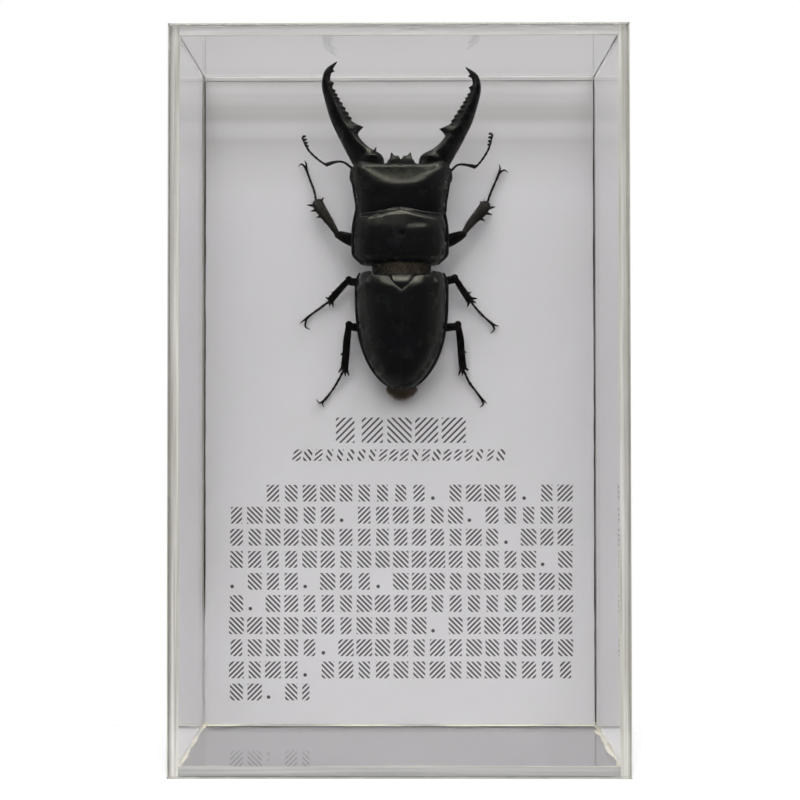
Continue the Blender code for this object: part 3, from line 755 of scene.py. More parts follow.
        # Painted shade: greyer towards the top of the card, in level bands.
        painted_shade = add_node(
            tree, "ShaderNodeMapRange",
            {"Value": z, "From Min": self.top_shade_from, "From Max": self.top_shade_to, "To Max": self.top_shade_share},
            interpolation_type="SMOOTHSTEP",
        )
        along = add_node(tree, MATH, (z, 1.0 / self.streak_mm), operation="MULTIPLY")
        streak = add_node(
            tree, "ShaderNodeTexNoise", {"W": along, "Scale": 1.0, "Detail": 1.0}, noise_dimensions="1D"
        )
        shade_bands = add_node(tree, MATH, (streak, 1.1, 0.4), operation="MULTIPLY_ADD")
        top_shade_mix = add_node(tree, MATH, (painted_shade, shade_bands), operation="MULTIPLY")
        paper = add_node(
            tree, "ShaderNodeMix", {"Factor": top_shade_mix, "A": stock.outputs["Result"], "B": linear(self.painted_shade)},
            data_type="RGBA",
        )
        face = add_node(
            tree, "ShaderNodeMix", {"Factor": cover, "A": paper.outputs["Result"], "B": linear(self.toner)},
            data_type="RGBA",
        )
        tree.links.new(face.outputs["Result"], shader.inputs["Base Color"])
        pressed = add_node(
            tree, "ShaderNodeBump",
            {"Height": fibre, "Strength": 0.25, "Distance": self.fibre_height_mm * MM},
        )
        tree.links.new(pressed.outputs["Normal"], shader.inputs["Normal"])
        return material


@dataclass(frozen=True)
class Chitin(Finish):
    """Hardened beetle shell, grown in layers: a satin skin over near-black pigment.

    It shows broad, soft highlights with a faint olive cast. The finest pits of a real shell
    are under a tenth of a millimetre and are drawn a little coarser, so that they show.
    """

    name: str = "black shell"
    deep: str = "#0F1014"
    worn: str = "#131417"
    roughness: tuple[float, float] = (0.22, 0.3)
    tint: str = "#F3F3D8"
    ior: float = 1.56
    sheen_level: float = 0.18
    pit_mm: float = 0.34
    pit_depth_mm: float = 0.004
    cloud_mm: float = 3.5
    swell_mm: float = 3.2
    swell_height_mm: float = 0.005

    def material(self) -> Material:
        """Make a satin dark shell with fine pits and a soft unevenness.

        Returns:
            The material.
        """
        material, tree, shader, place = self.begin({
            "IOR": self.ior, "Specular IOR Level": self.sheen_level, "Specular Tint": linear(self.tint),
        })
        cloud = add_node(
            tree, "ShaderNodeTexNoise",
            {"Vector": place, "Scale": 1.0 / (self.cloud_mm * MM), "Detail": 5.0, "Roughness": 0.6},
        )
        tone = add_node(
            tree, "ShaderNodeMix", {"Factor": cloud, "A": linear(self.deep), "B": linear(self.worn)},
            data_type="RGBA",
        )
        tree.links.new(tone.outputs["Result"], shader.inputs["Base Color"])
        gloss = add_node(
            tree, "ShaderNodeMapRange",
            {"Value": cloud, "From Min": 0.3, "From Max": 0.7,
             "To Min": self.roughness[0], "To Max": self.roughness[1]},
        )
        tree.links.new(gloss.outputs["Result"], shader.inputs["Roughness"])
        pits = add_node(
            tree, "ShaderNodeTexVoronoi",
            {"Vector": place, "Scale": 1.0 / (self.pit_mm * MM), "Randomness": 1.0},
        )
        hollow = add_node(tree, "ShaderNodeMapRange", {"Value": pits, "From Min": 0.0, "From Max": 0.45})
        fine = add_node(
            tree, "ShaderNodeBump", {"Height": hollow, "Strength": 0.5, "Distance": self.pit_depth_mm * MM}
        )
        swell = add_node(
            tree, "ShaderNodeTexNoise", {"Vector": place, "Scale": 1.0 / (self.swell_mm * MM), "Detail": 2.0}
        )
        broad = add_node(
            tree, "ShaderNodeBump",
            {"Height": swell, "Strength": 0.8,
             "Distance": self.swell_height_mm * MM, "Normal": fine},
        )
        tree.links.new(broad.outputs["Normal"], shader.inputs["Normal"])
        return material


@dataclass(frozen=True)
class Bristle(Finish):
    """Stiff insect hair: golden brown, shining along its length."""

    name: str = "golden bristle"
    root: str = "#1C130D"
    tip: str = "#5E4530"
    patch_mm: float = 1.8
    roughness: float = 0.42
    ior: float = 1.55

    def material(self) -> Material:
        """Make a glossy hair, darker in patches.

        Returns:
            The material.
        """
        material, tree, shader, place = self.begin({"Roughness": self.roughness, "IOR": self.ior})
        patch = add_node(
            tree, "ShaderNodeTexNoise", {"Vector": place, "Scale": 1.0 / (self.patch_mm * MM), "Detail": 3.0}
        )
        tone = add_node(
            tree, "ShaderNodeMix", {"Factor": patch, "A": linear(self.root), "B": linear(self.tip)},
            data_type="RGBA",
        )
        tree.links.new(tone.outputs["Result"], shader.inputs["Base Color"])
        return material


@dataclass(frozen=True)
class StudioFloor(Finish):
    """Matt pale board."""

    name: str = "pale board"
    pale: str = "#BFBFBF"
    paler: str = "#C5C5C5"
    roughness: float = 0.9
    grain_mm: float = 25.0

    def material(self) -> Material:
        """Make a matt floor.

        Returns:
            The material.
        """
        material, tree, shader, place = self.begin({"Roughness": self.roughness})
        grain = add_node(
            tree, "ShaderNodeTexNoise", {"Vector": place, "Scale": 1.0 / (self.grain_mm * MM), "Detail": 2.0}
        )
        tone = add_node(
            tree, "ShaderNodeMix", {"Factor": grain, "A": linear(self.pale), "B": linear(self.paler)},
            data_type="RGBA",
        )
        tree.links.new(tone.outputs["Result"], shader.inputs["Base Color"])
        return material


@dataclass
class BoxSizes:
    """Sizes of the clear box and its card, read from the frame, in millimetres."""

    low: Vector
    high: Vector
    sheet: float
    card_low: Vector
    card_high: Vector

    @classmethod
    def from_frame(cls) -> "BoxSizes":
        """Measure the frame's solids.

        Returns:
            The sizes.
        """
        low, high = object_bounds()
        panel_low, panel_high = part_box("front_panel")
        card_low, card_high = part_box("card")
        sheet = (panel_high.y - panel_low.y) / MM
        return cls(low / MM, high / MM, sheet, card_low / MM, card_high / MM)

    @property
    def inner_low(self) -> Vector:
        """Lowest corner of the space inside."""
        return self.low + Vector((self.sheet,) * 3)

    @property
    def inner_high(self) -> Vector:
        """Highest corner of the space inside."""
        return self.high - Vector((self.sheet,) * 3)


def cuboid(low: Vector, high: Vector, eased: float = 0.0, steps: int = 3) -> Shape:
    """Box between two corners.

    Args:
        low: Lowest corner.
        high: Highest corner.
        eased: Width of the eased edges, or 0.
        steps: Faces across each eased edge.

    Returns:
        The shape.
    """
    form = bmesh.new()
    bmesh.ops.create_cube(form, size=1.0)
    size, middle = high - low, (high + low) / 2
    for corner in form.verts:
        corner.co = Vector(c * s + m for c, s, m in zip(corner.co, size, middle))
    if eased:
        bmesh.ops.bevel(form, geom=form.edges[:], offset=eased, segments=steps, profile=0.5, affect="EDGES")
    form.verts.index_update()
    points = np.array([corner.co for corner in form.verts])
    faces = [[corner.index for corner in face.verts] for face in form.faces]
    form.free()
    return Shape(points, faces)


@dataclass
class ClearBox:
    """Six cemented sheets: one clear body with a hollow in it, and eased outer edges."""

    sizes: BoxSizes
    eased: float = 0.3
    steps: int = 3

    def build(self) -> bpy.types.Object:
        """Make the clear body in place of the six sheets.

        Returns:
            The piece.
        """
        stock = MeshStock("clear_box")
        hollow = cuboid(self.sizes.inner_low, self.sizes.inner_high)
        stock.add(
            cuboid(self.sizes.low, self.sizes.high, self.eased, self.steps),
            Shape(hollow.points, [face[::-1] for face in hollow.faces]),
        )
        sheets = ("front_panel", "back_plate", "left_wall", "right_wall", "top_wall", "bottom_wall")
        return stock.piece(ClearAcrylic().material(), Slot.ACRYLIC, *sheets, sharp_degrees=0.0)


def edge_bead(start: Vector, end: Vector, inward: Vector, reach: Array) -> Shape:
    """Bead with a hollow face, along the edge where two flat faces meet.

    Args:
        start: First end of the edge.
        end: Other end of the edge.
        inward: The two directions that lead away from the edge, each as long as the bead's
            share of its width there.
        reach: Width of the bead, at even steps along it.

    Returns:
        The bead.
    """
    along = np.array(end - start)
    axes = [axis for axis in range(3) if abs(along[axis]) < 1e-6]
    first, second = np.zeros(3), np.zeros(3)
    first[axes[0]], second[axes[1]] = inward[axes[0]], inward[axes[1]]
    line = np.array(start) + np.linspace(0.0, 1.0, len(reach))[:, None, None] * along
    bow = np.linspace(0.0, 1.0, 6)[:, None]
    curve = (1.0 - bow) ** 2 * first + bow**2 * second
    rings = np.concatenate([line + reach[:, None, None] * curve, line], 1)
    if np.dot(np.cross(second - first, first), along) > 0:
        rings = rings[:, ::-1]
    return lofted(rings)


def cuboid_edges(low: Vector, high: Vector) -> list[tuple[Vector, Vector, Vector]]:
    """The twelve edges of a box.

    Args:
        low: Lowest corner.
        high: Highest corner.

    Returns:
        Start, end and inward signs of each edge.
    """
    edges = []
    for axis in range(3):
        one, two = [other for other in range(3) if other != axis]
        for sign_one in (1, -1):
            for sign_two in (1, -1):
                start, end, inward = low.copy(), low.copy(), Vector((0.0, 0.0, 0.0))
                end[axis] = high[axis]
                for other, sign in ((one, sign_one), (two, sign_two)):
                    start[other] = end[other] = low[other] if sign > 0 else high[other]
                    inward[other] = sign
                edges.append((start, end, inward))
    return edges


@dataclass
class CementSeams:
    """Beads of cement in the inner corners of the box, and dark beads of painted shadow in the gaps round the
    card.
    """

    sizes: BoxSizes
    fine: float = 0.2
    full: float = 0.62
    front: float = 0.12
    gap: float = 0.26
    stain: float = 1.8
    stain_clear: float = 0.9
    sill_thick: float = 0.08
    shade_thick: float = 0.1
    least_shade: float = 0.08
    bubble_radius: float = 0.06
    bubble_swell: float = 0.16
    card_short: float = 0.7
    card_shadow: float = 0.13
    taper_z: tuple[float, float] = (20.0, 40.0)
    # Painted shadow: dark beads in the gaps beside the card, darkest on the left, and a grey line along the
    # card's top edge.
    painted_gap_shade: dict[str, tuple[str, str]] = field(default_factory=lambda: {
        "left": ("#33322E", "#1F1E1C"), "right": ("#4A4945", "#383734"), "top": ("#9C9B97", "#8C8B87"),
    })
    stations: int = 90
    bubbles: int = 40
    seed: int = 7

    def width_at(self, inward: Vector) -> tuple[float, float]:
        """Width of a bead, and the share by which it wanders.

        Args:
            inward: Signs of the two directions that lead away from the edge.

        Returns:
            Width in millimetres and share.
        """
        if not inward.y:
            return (self.full, 0.45) if inward.z > 0 else (self.fine, 0.25)
        return (self.front, 0.3) if inward.y > 0 else (1.2 * self.fine, 0.3)

    def build(self) -> None:
        """Make the cement, the bubbles in its thick lower beads and the painted shadow in the gaps round the
        card.
        """
        low, high = self.sizes.inner_low.copy(), self.sizes.inner_high.copy()
        high.y = self.sizes.card_low.y
        clear = Vector((0.01, 0.01, 0.01))
        low, high = low + clear, high - clear
        cement, stain, sill = MeshStock("cement_seams"), MeshStock("cement_stain"), MeshStock("cement_sill")
        painted_gap_shade = {side: MeshStock(f"shaded_gap_{side}") for side in self.painted_gap_shade}
        widening = np.maximum(self.least_shade, ease(np.linspace(low.z, high.z, self.stations), *self.taper_z))
        chance = np.random.default_rng(self.seed)
        for start, end, inward in cuboid_edges(low, high):
            width, uneven = self.width_at(inward)
            wander = np.convolve(chance.normal(size=self.stations + 8), np.ones(9) / 9, "valid")
            even = np.clip(1.0 + 0.4 * wander, 0.8, 1.2)
            reach = width * np.clip(1.0 + 3.0 * uneven * wander, 0.3, 2.2)
            # The dark beads in the gaps by the card's sides are painted shadow, narrower towards the bottom;
            # a greyer flat bead lies just in front of the left one.
            if inward.y < 0 and inward.x > 0:
                painted_gap_shade["left"].add(edge_bead(start, end, inward, self.gap * even * widening))
                ahead = Vector((0.0, self.stain_clear, 0.0))
                flat = Vector((0.02, -1.0, 0.0))
                stain.add(edge_bead(start - ahead, end - ahead, flat, self.stain * even * widening))
            elif inward.y < 0 and inward.x < 0:
                painted_gap_shade["right"].add(edge_bead(start, end, inward, self.gap * even))
            # A grey slab along the card's top edge, under the pale sill: painted shadow.
            elif inward.y < 0 and inward.z < 0:
                edge = end - Vector((0.0, 0.0, self.card_short))
                sill.add(cuboid(Vector((start.x, start.y - self.sill_thick, edge.z)), end))
                corner = Vector((start.x, start.y - self.shade_thick, edge.z - self.card_shadow))
                painted_gap_shade["top"].add(cuboid(corner, edge))
            elif inward.z < 0:
                stain.add(edge_bead(start, end, inward, reach))
            else:
                cement.add(edge_bead(start, end, inward, reach))
        for x, sign in ((low.x, 1), (high.x, -1)):
            for share in chance.random(self.bubbles) ** 0.7:
                size = self.bubble_radius + self.bubble_swell * chance.random() ** 2
                off = 0.1 + 0.7 * chance.random(2)
                centre = (x + sign * off[0], low.y + share * (high.y - low.y - 1.0) + 0.5, low.z + off[1])
                cement.add(ball(centre, (size, 1.4 * size, 0.8 * size), 8, 10))
        cement.piece(SolventCement().material(), Slot.ACRYLIC)
        stained = SolventCement("stained cement", "#C6C4B6", "#9A988B", 2.4, 0.4, 0.2)
        stain.piece(stained.material(), Slot.ACRYLIC)
        pale = SolventCement("pale cement", "#CDCDCA", "#C0C0BC", 3.0, 0.4, 0.05)
        sill.piece(pale.material(), Slot.ACRYLIC)
        # Dark beads of painted shadow in the gaps, one piece for each side.
        for side, (milky, clearer) in self.painted_gap_shade.items():
            shaded = SolventCement(f"{side} dusty cement", milky, clearer, 0.7, 0.5, 0.0)
            painted_gap_shade[side].piece(shaded.material(), Slot.ACRYLIC)


@dataclass
class JointFilms:
    """Thin films of cement between the front and back panels and the edges of the walls."""

    sizes: BoxSizes
    thickness: float = 0.03
    inset: float = 0.04
    clear: float = 0.02
    # Painted light and shade: the top wall's film is whitest, the bottom one's greyest, and the right one
    # lighter than the left, as the rims are lit.
    tones_with_painted_light: dict[str, tuple[str, str, str]] = field(default_factory=lambda: {
        "left": ("#FAF9F4", "#CAC8BE", "#ABA99F"), "right": ("#F9F8F3", "#CBC9BF", "#B5B3A8"),
        "top": ("#FFFFFF", "#F0EEE9", "#CAC8C2"), "bottom": ("#C6C6C3", "#A2A29F", "#8E8E8A"),
    })

    def strip(self, name: str, depth: float) -> Shape:
        """Film on the edge of one wall.

        Args:
            name: The wall.
            depth: Where the film's front face is.

        Returns:
            The film.
        """
        axis = 0 if name in ("left", "right") else 2
        first = self.sizes.low + Vector((self.inset,) * 3)
        last = self.sizes.high - Vector((self.inset,) * 3)
        if name in ("left", "bottom"):
            last[axis] = self.sizes.inner_low[axis] - self.clear
        else:
            first[axis] = self.sizes.inner_high[axis] + self.clear
        if axis == 2:
            first.x, last.x = self.sizes.inner_low.x + self.clear, self.sizes.inner_high.x - self.clear
        first.y, last.y = depth, depth + self.thickness
        return cuboid(first, last)

    def build(self) -> None:
        """Make the films, one piece for each wall."""
        low, high = self.sizes.low, self.sizes.high
        for name, (pale, grey, painted_outer_shade) in self.tones_with_painted_light.items():
            stock = MeshStock(f"cement_film_{name}")
            for depth in (self.sizes.inner_low.y, self.sizes.inner_high.y - self.thickness):
                stock.add(self.strip(name, depth))
            axis = 0 if name in ("left", "right") else 2
            middle, half = 0.5 * (low[axis] + high[axis]), 0.5 * (high[axis] - low[axis])
            finish = JointFilm(f"{name} cement film", axis, middle, half, pale, grey, painted_outer_shade)
            stock.piece(finish.material(), Slot.ACRYLIC, sharp_degrees=0.0)


@dataclass
class FrostedShadedEdges:
    """Outer edges of the sheets: frost from the saw and from handling, greyed darker as painted shade for the
    dark outline that the edges show.
    """

    sizes: BoxSizes
    width: float
    stations: int = 40
    seed: int = 5

    def build(self) -> None:
        """Make the twelve edges in the ease of the clear body's own."""
        stock = MeshStock("frosted_shaded_edges")
        chance = np.random.default_rng(self.seed)
        for start, end, inward in cuboid_edges(self.sizes.low, self.sizes.high):
            reach = self.width * chance.uniform(0.94, 0.98, self.stations)
            stock.add(edge_bead(start, end, inward, reach))
        # Painted shade: the edge beads are grey, darker than frost, for the dark outline of the box's edges.
        frosted_and_shaded = SolventCement("frosted acrylic edge", "#B9B5A9", "#8F8D86", 2.5, 0.38, 0.4)
        stock.piece(frosted_and_shaded.material(), Slot.ACRYLIC)


@dataclass
class SpecimenCard:
    """Card behind the beetle, cut a little unevenly and lifted at one edge."""

    sizes: BoxSizes
    columns: int = 90
    rows: int = 150
    lift: float = 0.5
    lift_z: float = 74.0
    lift_spread: float = 3.2
    lift_width: float = 4.0
    wave: float = 0.02
    ragged: tuple[float, float] = (0.06, 0.05)
    blocks: tuple[PrintBlock, ...] = (
        PrintBlock(-15.8, 15.8, 73.9, 6.7, 1, 6.32, 2.9, 2.95, 1.1, 0.42),
        PrintBlock(-25.1, 24.9, 66.9, 4.3, 1, 2.5, 1.0, 1.35, 0.95, 0.42, slant=0.2),
        PrintBlock(-40.1, 40.7, 58.47, 5.13, 10, 4.25, 1.85, 1.95, 0.86, 0.4,
                   indent=8.5, last_short=61.7, dots=0.09),
    )

    def build(self) -> bpy.types.Object:
        """Make the card in place of its plain solid.

        Returns:
            The piece.
        """
        low, high = self.sizes.card_low, self.sizes.card_high
        x, z = np.meshgrid(np.linspace(low.x, high.x, self.columns), np.linspace(low.z, high.z, self.rows))
        edge = ease(x, high.x - self.lift_width, high.x) * bump(z, self.lift_z, self.lift_spread)
        wave = self.wave * np.sin(x / 9.0) * np.sin(z / 14.0)
        front = low.y - self.lift * edge - np.abs(wave)
        trim = self.ragged[0] * np.sin(z / 3.1) + self.ragged[1] * np.sin(z / 1.3)
        x = x + trim * ease(np.abs(x), high.x - 0.2, high.x) * np.sign(x)
        stock = MeshStock("specimen_card")
        back = np.full_like(x, high.y)
        stock.add(closed_sheets(np.stack([x, front, z], -1), np.stack([x, back, z], -1)))
        finish = PrintedCard(middle_y=0.5 * (low.y + high.y), blocks=self.blocks)
        return stock.piece(finish.material(), Slot.CARD, "card")


@dataclass
class BeetlePlace:
    """Where the beetle lies: it stands against the card, facing the front panel."""

    x: float
    card_y: float
    z: float

    @classmethod
    def from_frame(cls, scutellum_front: float) -> "BeetlePlace":
        """Find the beetle by its scutellum and its card."""
        low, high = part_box("scutellum")
        return cls((low.x + high.x) / 2 / MM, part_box("card")[0].y / MM, high.z / MM - scutellum_front)

    def standing(self, shape: Shape) -> Shape:
        """The shape turned from lying on the card to its place in the box."""
        x, y, z = shape.points.T
        return Shape(np.stack([self.x + x, self.card_y - z, self.z + y], -1), shape.faces)

    def part(
        self, name: str, shapes: Sequence[Shape], finish: Material, slot: Slot = Slot.BLACK,
        sharp_degrees: float = 50.0,
    ) -> None:
        """Make one part of the beetle where it lies.

        Args:
            name: Solid of the frame that the part stands for.
            shapes: What the part is made of.
            finish: Its shell.
            slot: Material slot of the record.
            sharp_degrees: Edges sharper than this stay crisp.
        """
        stock = MeshStock(f"beetle_{name}")
        stock.add(*(self.standing(shape) for shape in shapes))
        stock.piece(finish, slot, name, sharp_degrees=sharp_degrees)


def plate_columns(disc: int, margin: int, margin_share: float, both: bool) -> Array:
    """Values of s across a plate, closer together at its margin.

    Args:
        disc: Columns of the disc.
        margin: Columns of the margin.
        margin_share: Share of s that the margin takes.
        both: Whether the plate has a margin on both sides.

    Returns:
        The values, from -1 or 0 to 1.
    """
    inner = (1.0 - margin_share) * np.sin(0.5 * math.pi * np.linspace(0.0, 1.0, disc))
    outer = np.linspace(1.0 - margin_share, 1.0, margin)[1:]
    half = np.concatenate([inner, outer])
    return np.concatenate([-half[:0:-1], half]) if both else half


MARGIN_SHARE = 0.12


def across_plate(s: Array, disc_half: Array, margin: Array) -> Array:
    """Place across a plate that has a disc and a margin of its own width.

    Args:
        s: Share across the plate, from -1 to 1.
        disc_half: Half the disc's width.
        margin: Width of the margin.

    Returns:
        The place.
    """
    share = np.abs(s)
    in_disc = np.minimum(share / (1.0 - MARGIN_SHARE), 1.0) * disc_half
    in_margin = np.maximum(0.0, share - (1.0 - MARGIN_SHARE)) / MARGIN_SHARE * margin
    return np.sign(s) * (in_disc + in_margin)


@dataclass
class WingCases:
    """The two wing cases and the small shield in the notch between them."""

    place: BeetlePlace
    length: float = 25.8
    half_width: float = 10.7
    shoulder_half_width: float = 9.7
    shoulder_reach: float = 1.3
    widest_y: float = -3.0
    crown: float = 12.0
    front_crown: float = 11.65
    rim: float = 5.2
    rim_under: float = 4.5
    thickness: float = 0.8
    fall_y: float = -6.0
    tip_short: float = 0.15
    suture_half_gap: float = 0.015
    shield_length: float = 3.0
    shield_half_width: float = 2.2
    shield_front_y: float = 0.25
    shield_lip: float = 0.3
    lip_reach: float = 0.68
    margin: float = 0.6
    bead: float = 0.3
    front_roll: float = 0.95
    front_reach: float = 2.9
    edge_roll: float = 0.3
    hump: float = 0.6
    hump_at: tuple[float, float] = (8.3, -1.9)
    hump_spread: tuple[float, float] = (0.9, 1.4)
    suture_fall: float = 0.05
    suture_reach: float = 0.06

    def half_at(self, y: Any) -> Array:
        """Half the width of the closed wing cases.

        Args:
            y: Place along, or many.

        Returns:
            Half the width there.
        """
        fore = (y - self.widest_y) / (self.shoulder_reach - self.widest_y)
        rear = (self.widest_y - y) / (self.length + self.widest_y)
        front_half = self.half_width - (self.half_width - self.shoulder_half_width) * np.maximum(0, fore) ** 3
        return np.where(y > self.widest_y, front_half, self.half_width * dome(np.maximum(0, rear), 2.6, 1.8))

    def front_at(self, s: Any) -> Array:
        """Front edge: level behind the neck, then a step forward to the shoulder."""
        return self.shoulder_reach * (0.7 * ease(np.abs(s), 0.44, 0.6) + 0.3 * np.abs(s) ** 6)

    def crown_at(self, y: Any) -> Array:
        """Height along the suture.

        Args:
            y: Place along, or many.

        Returns:
            Height there.
        """
        front = self.front_crown + (self.crown - self.front_crown) * ease(-np.asarray(y), -1.3, 4.0)
        fall = np.maximum(0.0, (self.fall_y - y) / (self.fall_y + self.length))
        return self.rim + (front - self.rim) * dome(fall, 2.4, 2.0)

    def margin_at(self, y: Any) -> Array:
        """Width of the flat margin."""
        return np.minimum(self.margin, 0.3 * np.maximum(0.6, self.half_at(y)))

    def notch_at(self, y: Any) -> Array:
        """Place of the inner edge, which steps aside for the shield."""
        return self.suture_half_gap + self.shield_half_at(y + 0.12) * 0.97

    def shield_half_at(self, y: Any) -> Array:
        """Half the width of the shield, which ends in a rounded point."""
        share = np.clip(-np.asarray(y) / (self.shield_length + 0.1), 0.0, 1.0)
        return self.shield_half_width * (1.0 - share**1.7) ** 0.62

    def from_shield(self, x: Any, y: Any) -> Array:
        """How far a place is from the edge of the shield, or 0 on it.

        Args:
            x: Place across.
            y: Place along.

        Returns:
            Distance in millimetres.
        """
        across = np.abs(x) / self.shield_half_width
        along = np.maximum(0.0, -np.asarray(y)) / (self.shield_length + 0.1)
        return 2.6 * np.maximum(0.0, (across**1.61 + along**1.7) ** 0.6 - 1.0)

    def top(self, x: Array, y: Array, s: Array) -> Array:
        """Upper surface of the right wing case.

        Args:
            x: Place across.
            y: Place along.
            s: Share across.

        Returns:
            Height there.
        """
        half = np.maximum(0.6, self.half_at(y))
        disc = half - self.margin_at(y)
        height = self.rim + (self.crown_at(y) - self.rim) * dome(x / disc, 2.8, 2.2)
        in_margin = np.clip((x - disc) / self.margin_at(y), 0.0, 1.0)
        height += self.bead * np.sin(math.pi * in_margin) ** 0.8
        from_front = self.front_at(s) - y
        roll = self.front_roll * (0.05 + 0.75 * bump(x, 2.7, 1.8) + 0.25 * bump(x, 2.0, 0.8))
        height -= roll * roll_off(np.maximum(0.0, -y), self.front_reach)
        height -= self.edge_roll * roll_off(from_front, 0.3)
        (hump_x, hump_y), (wide, long) = self.hump_at, self.hump_spread
        height += self.hump * bump(x, hump_x, wide) * bump(y, hump_y, long)
        height -= self.shield_lip * roll_off(self.from_shield(x, y), self.lip_reach)
        from_suture = x - self.notch_at(y)
        height -= self.suture_fall * ease(-y, 3.2, 4.2) * np.exp(-from_suture / self.suture_reach)
        return np.maximum(self.rim - 0.1, height)

    def under(self, x: Array, y: Array, s: Array) -> Array:
        """Lower surface of the right wing case.

        Args:
            x: Place across.
            y: Place along.
            s: Share across.

        Returns:
            Height there.
        """
        half = np.maximum(0.7, self.half_at(y)) - 0.5 * self.thickness
        crown = self.crown_at(y) - self.thickness
        lift = np.maximum(0.0, crown - self.rim_under) * dome(x / half, 2.8, 2.2)
        return np.minimum(self.rim_under + lift, self.top(x, y, s) - 0.3)

    def case(self) -> Shape:
        """Right wing case.

        Returns:
            The wing case.
        """

        def plan(s: Array, t: Array) -> tuple[Array, Array]:
            """Place across and along for a share across and a share from the front.

            Args:
                s: Share across, 0 at the suture.
                t: Share along, 0 at the front.

            Returns:
                x and y.
            """
            front_y = self.front_at(s)
            rear_y = self.tip_short - self.length
            y = front_y + (rear_y - front_y) * t
            inner = self.notch_at(y)
            disc = np.maximum(0.6, self.half_at(y)) - self.margin_at(y)
            return inner + across_plate(s, disc - inner, self.margin_at(y)), y

        fine = np.linspace(0.0, 0.12, 16)
        coarse = 0.12 + 0.88 * np.sin(0.5 * math.pi * np.linspace(0.0, 1.0, 64))[1:]
        rows = np.concatenate([fine, coarse])[::-1]
        inner = 0.07 * np.linspace(0.0, 1.0, 12) ** 1.4
        return relief(np.unique(np.concatenate([inner, self.columns()])), rows, plan, self.top, self.under)

    def columns(self) -> Array:
        """Columns of the disc and its margin, past the fine ones along the suture."""
        columns = plate_columns(34, 9, MARGIN_SHARE, False)
        return columns[columns > 0.075]

    def shield(self) -> Shape:
        """Small three-sided shield, domed and set a little below the wing cases.

        Returns:
            The shield.
        """
        length = self.shield_length - 0.15

        def plan(s: Array, t: Array) -> tuple[Array, Array]:
            """Place across and along for a share across and a share from the front."""
            y = self.shield_front_y - length * t
            return s * np.maximum(0.05, self.shield_half_at(y)), y

        def top(x: Array, y: Array, s: Array) -> Array:
            """Upper height, with a fall at the front and the sides.

            Args:
                x: Place across.
                y: Place along.
                s: Share across.

            Returns:
                Height there.
            """
            from_front = self.shield_front_y - y
            sunk = self.shield_lip + 0.03 * roll_off(1.0 - np.abs(s), 0.3)
            return self.crown_at(y) - 0.75 * roll_off(from_front, 2.2) - sunk

        def under(x: Array, y: Array, s: Array) -> Array:
            """Lower height."""
            return top(x, y, s) - self.thickness

        return relief(np.linspace(-1, 1, 21), np.linspace(1, 0, 22), plan, top, under)

    def build(self, finish: Material) -> None:
        """Make the three pieces.

        Args:
            finish: Their shell.
        """
        for side, name in ((Side.LEFT, "wing_case_left"), (Side.RIGHT, "wing_case_right")):
            self.place.part(name, [self.case().on(side)], finish)
        self.place.part("scutellum", [self.shield()], finish)


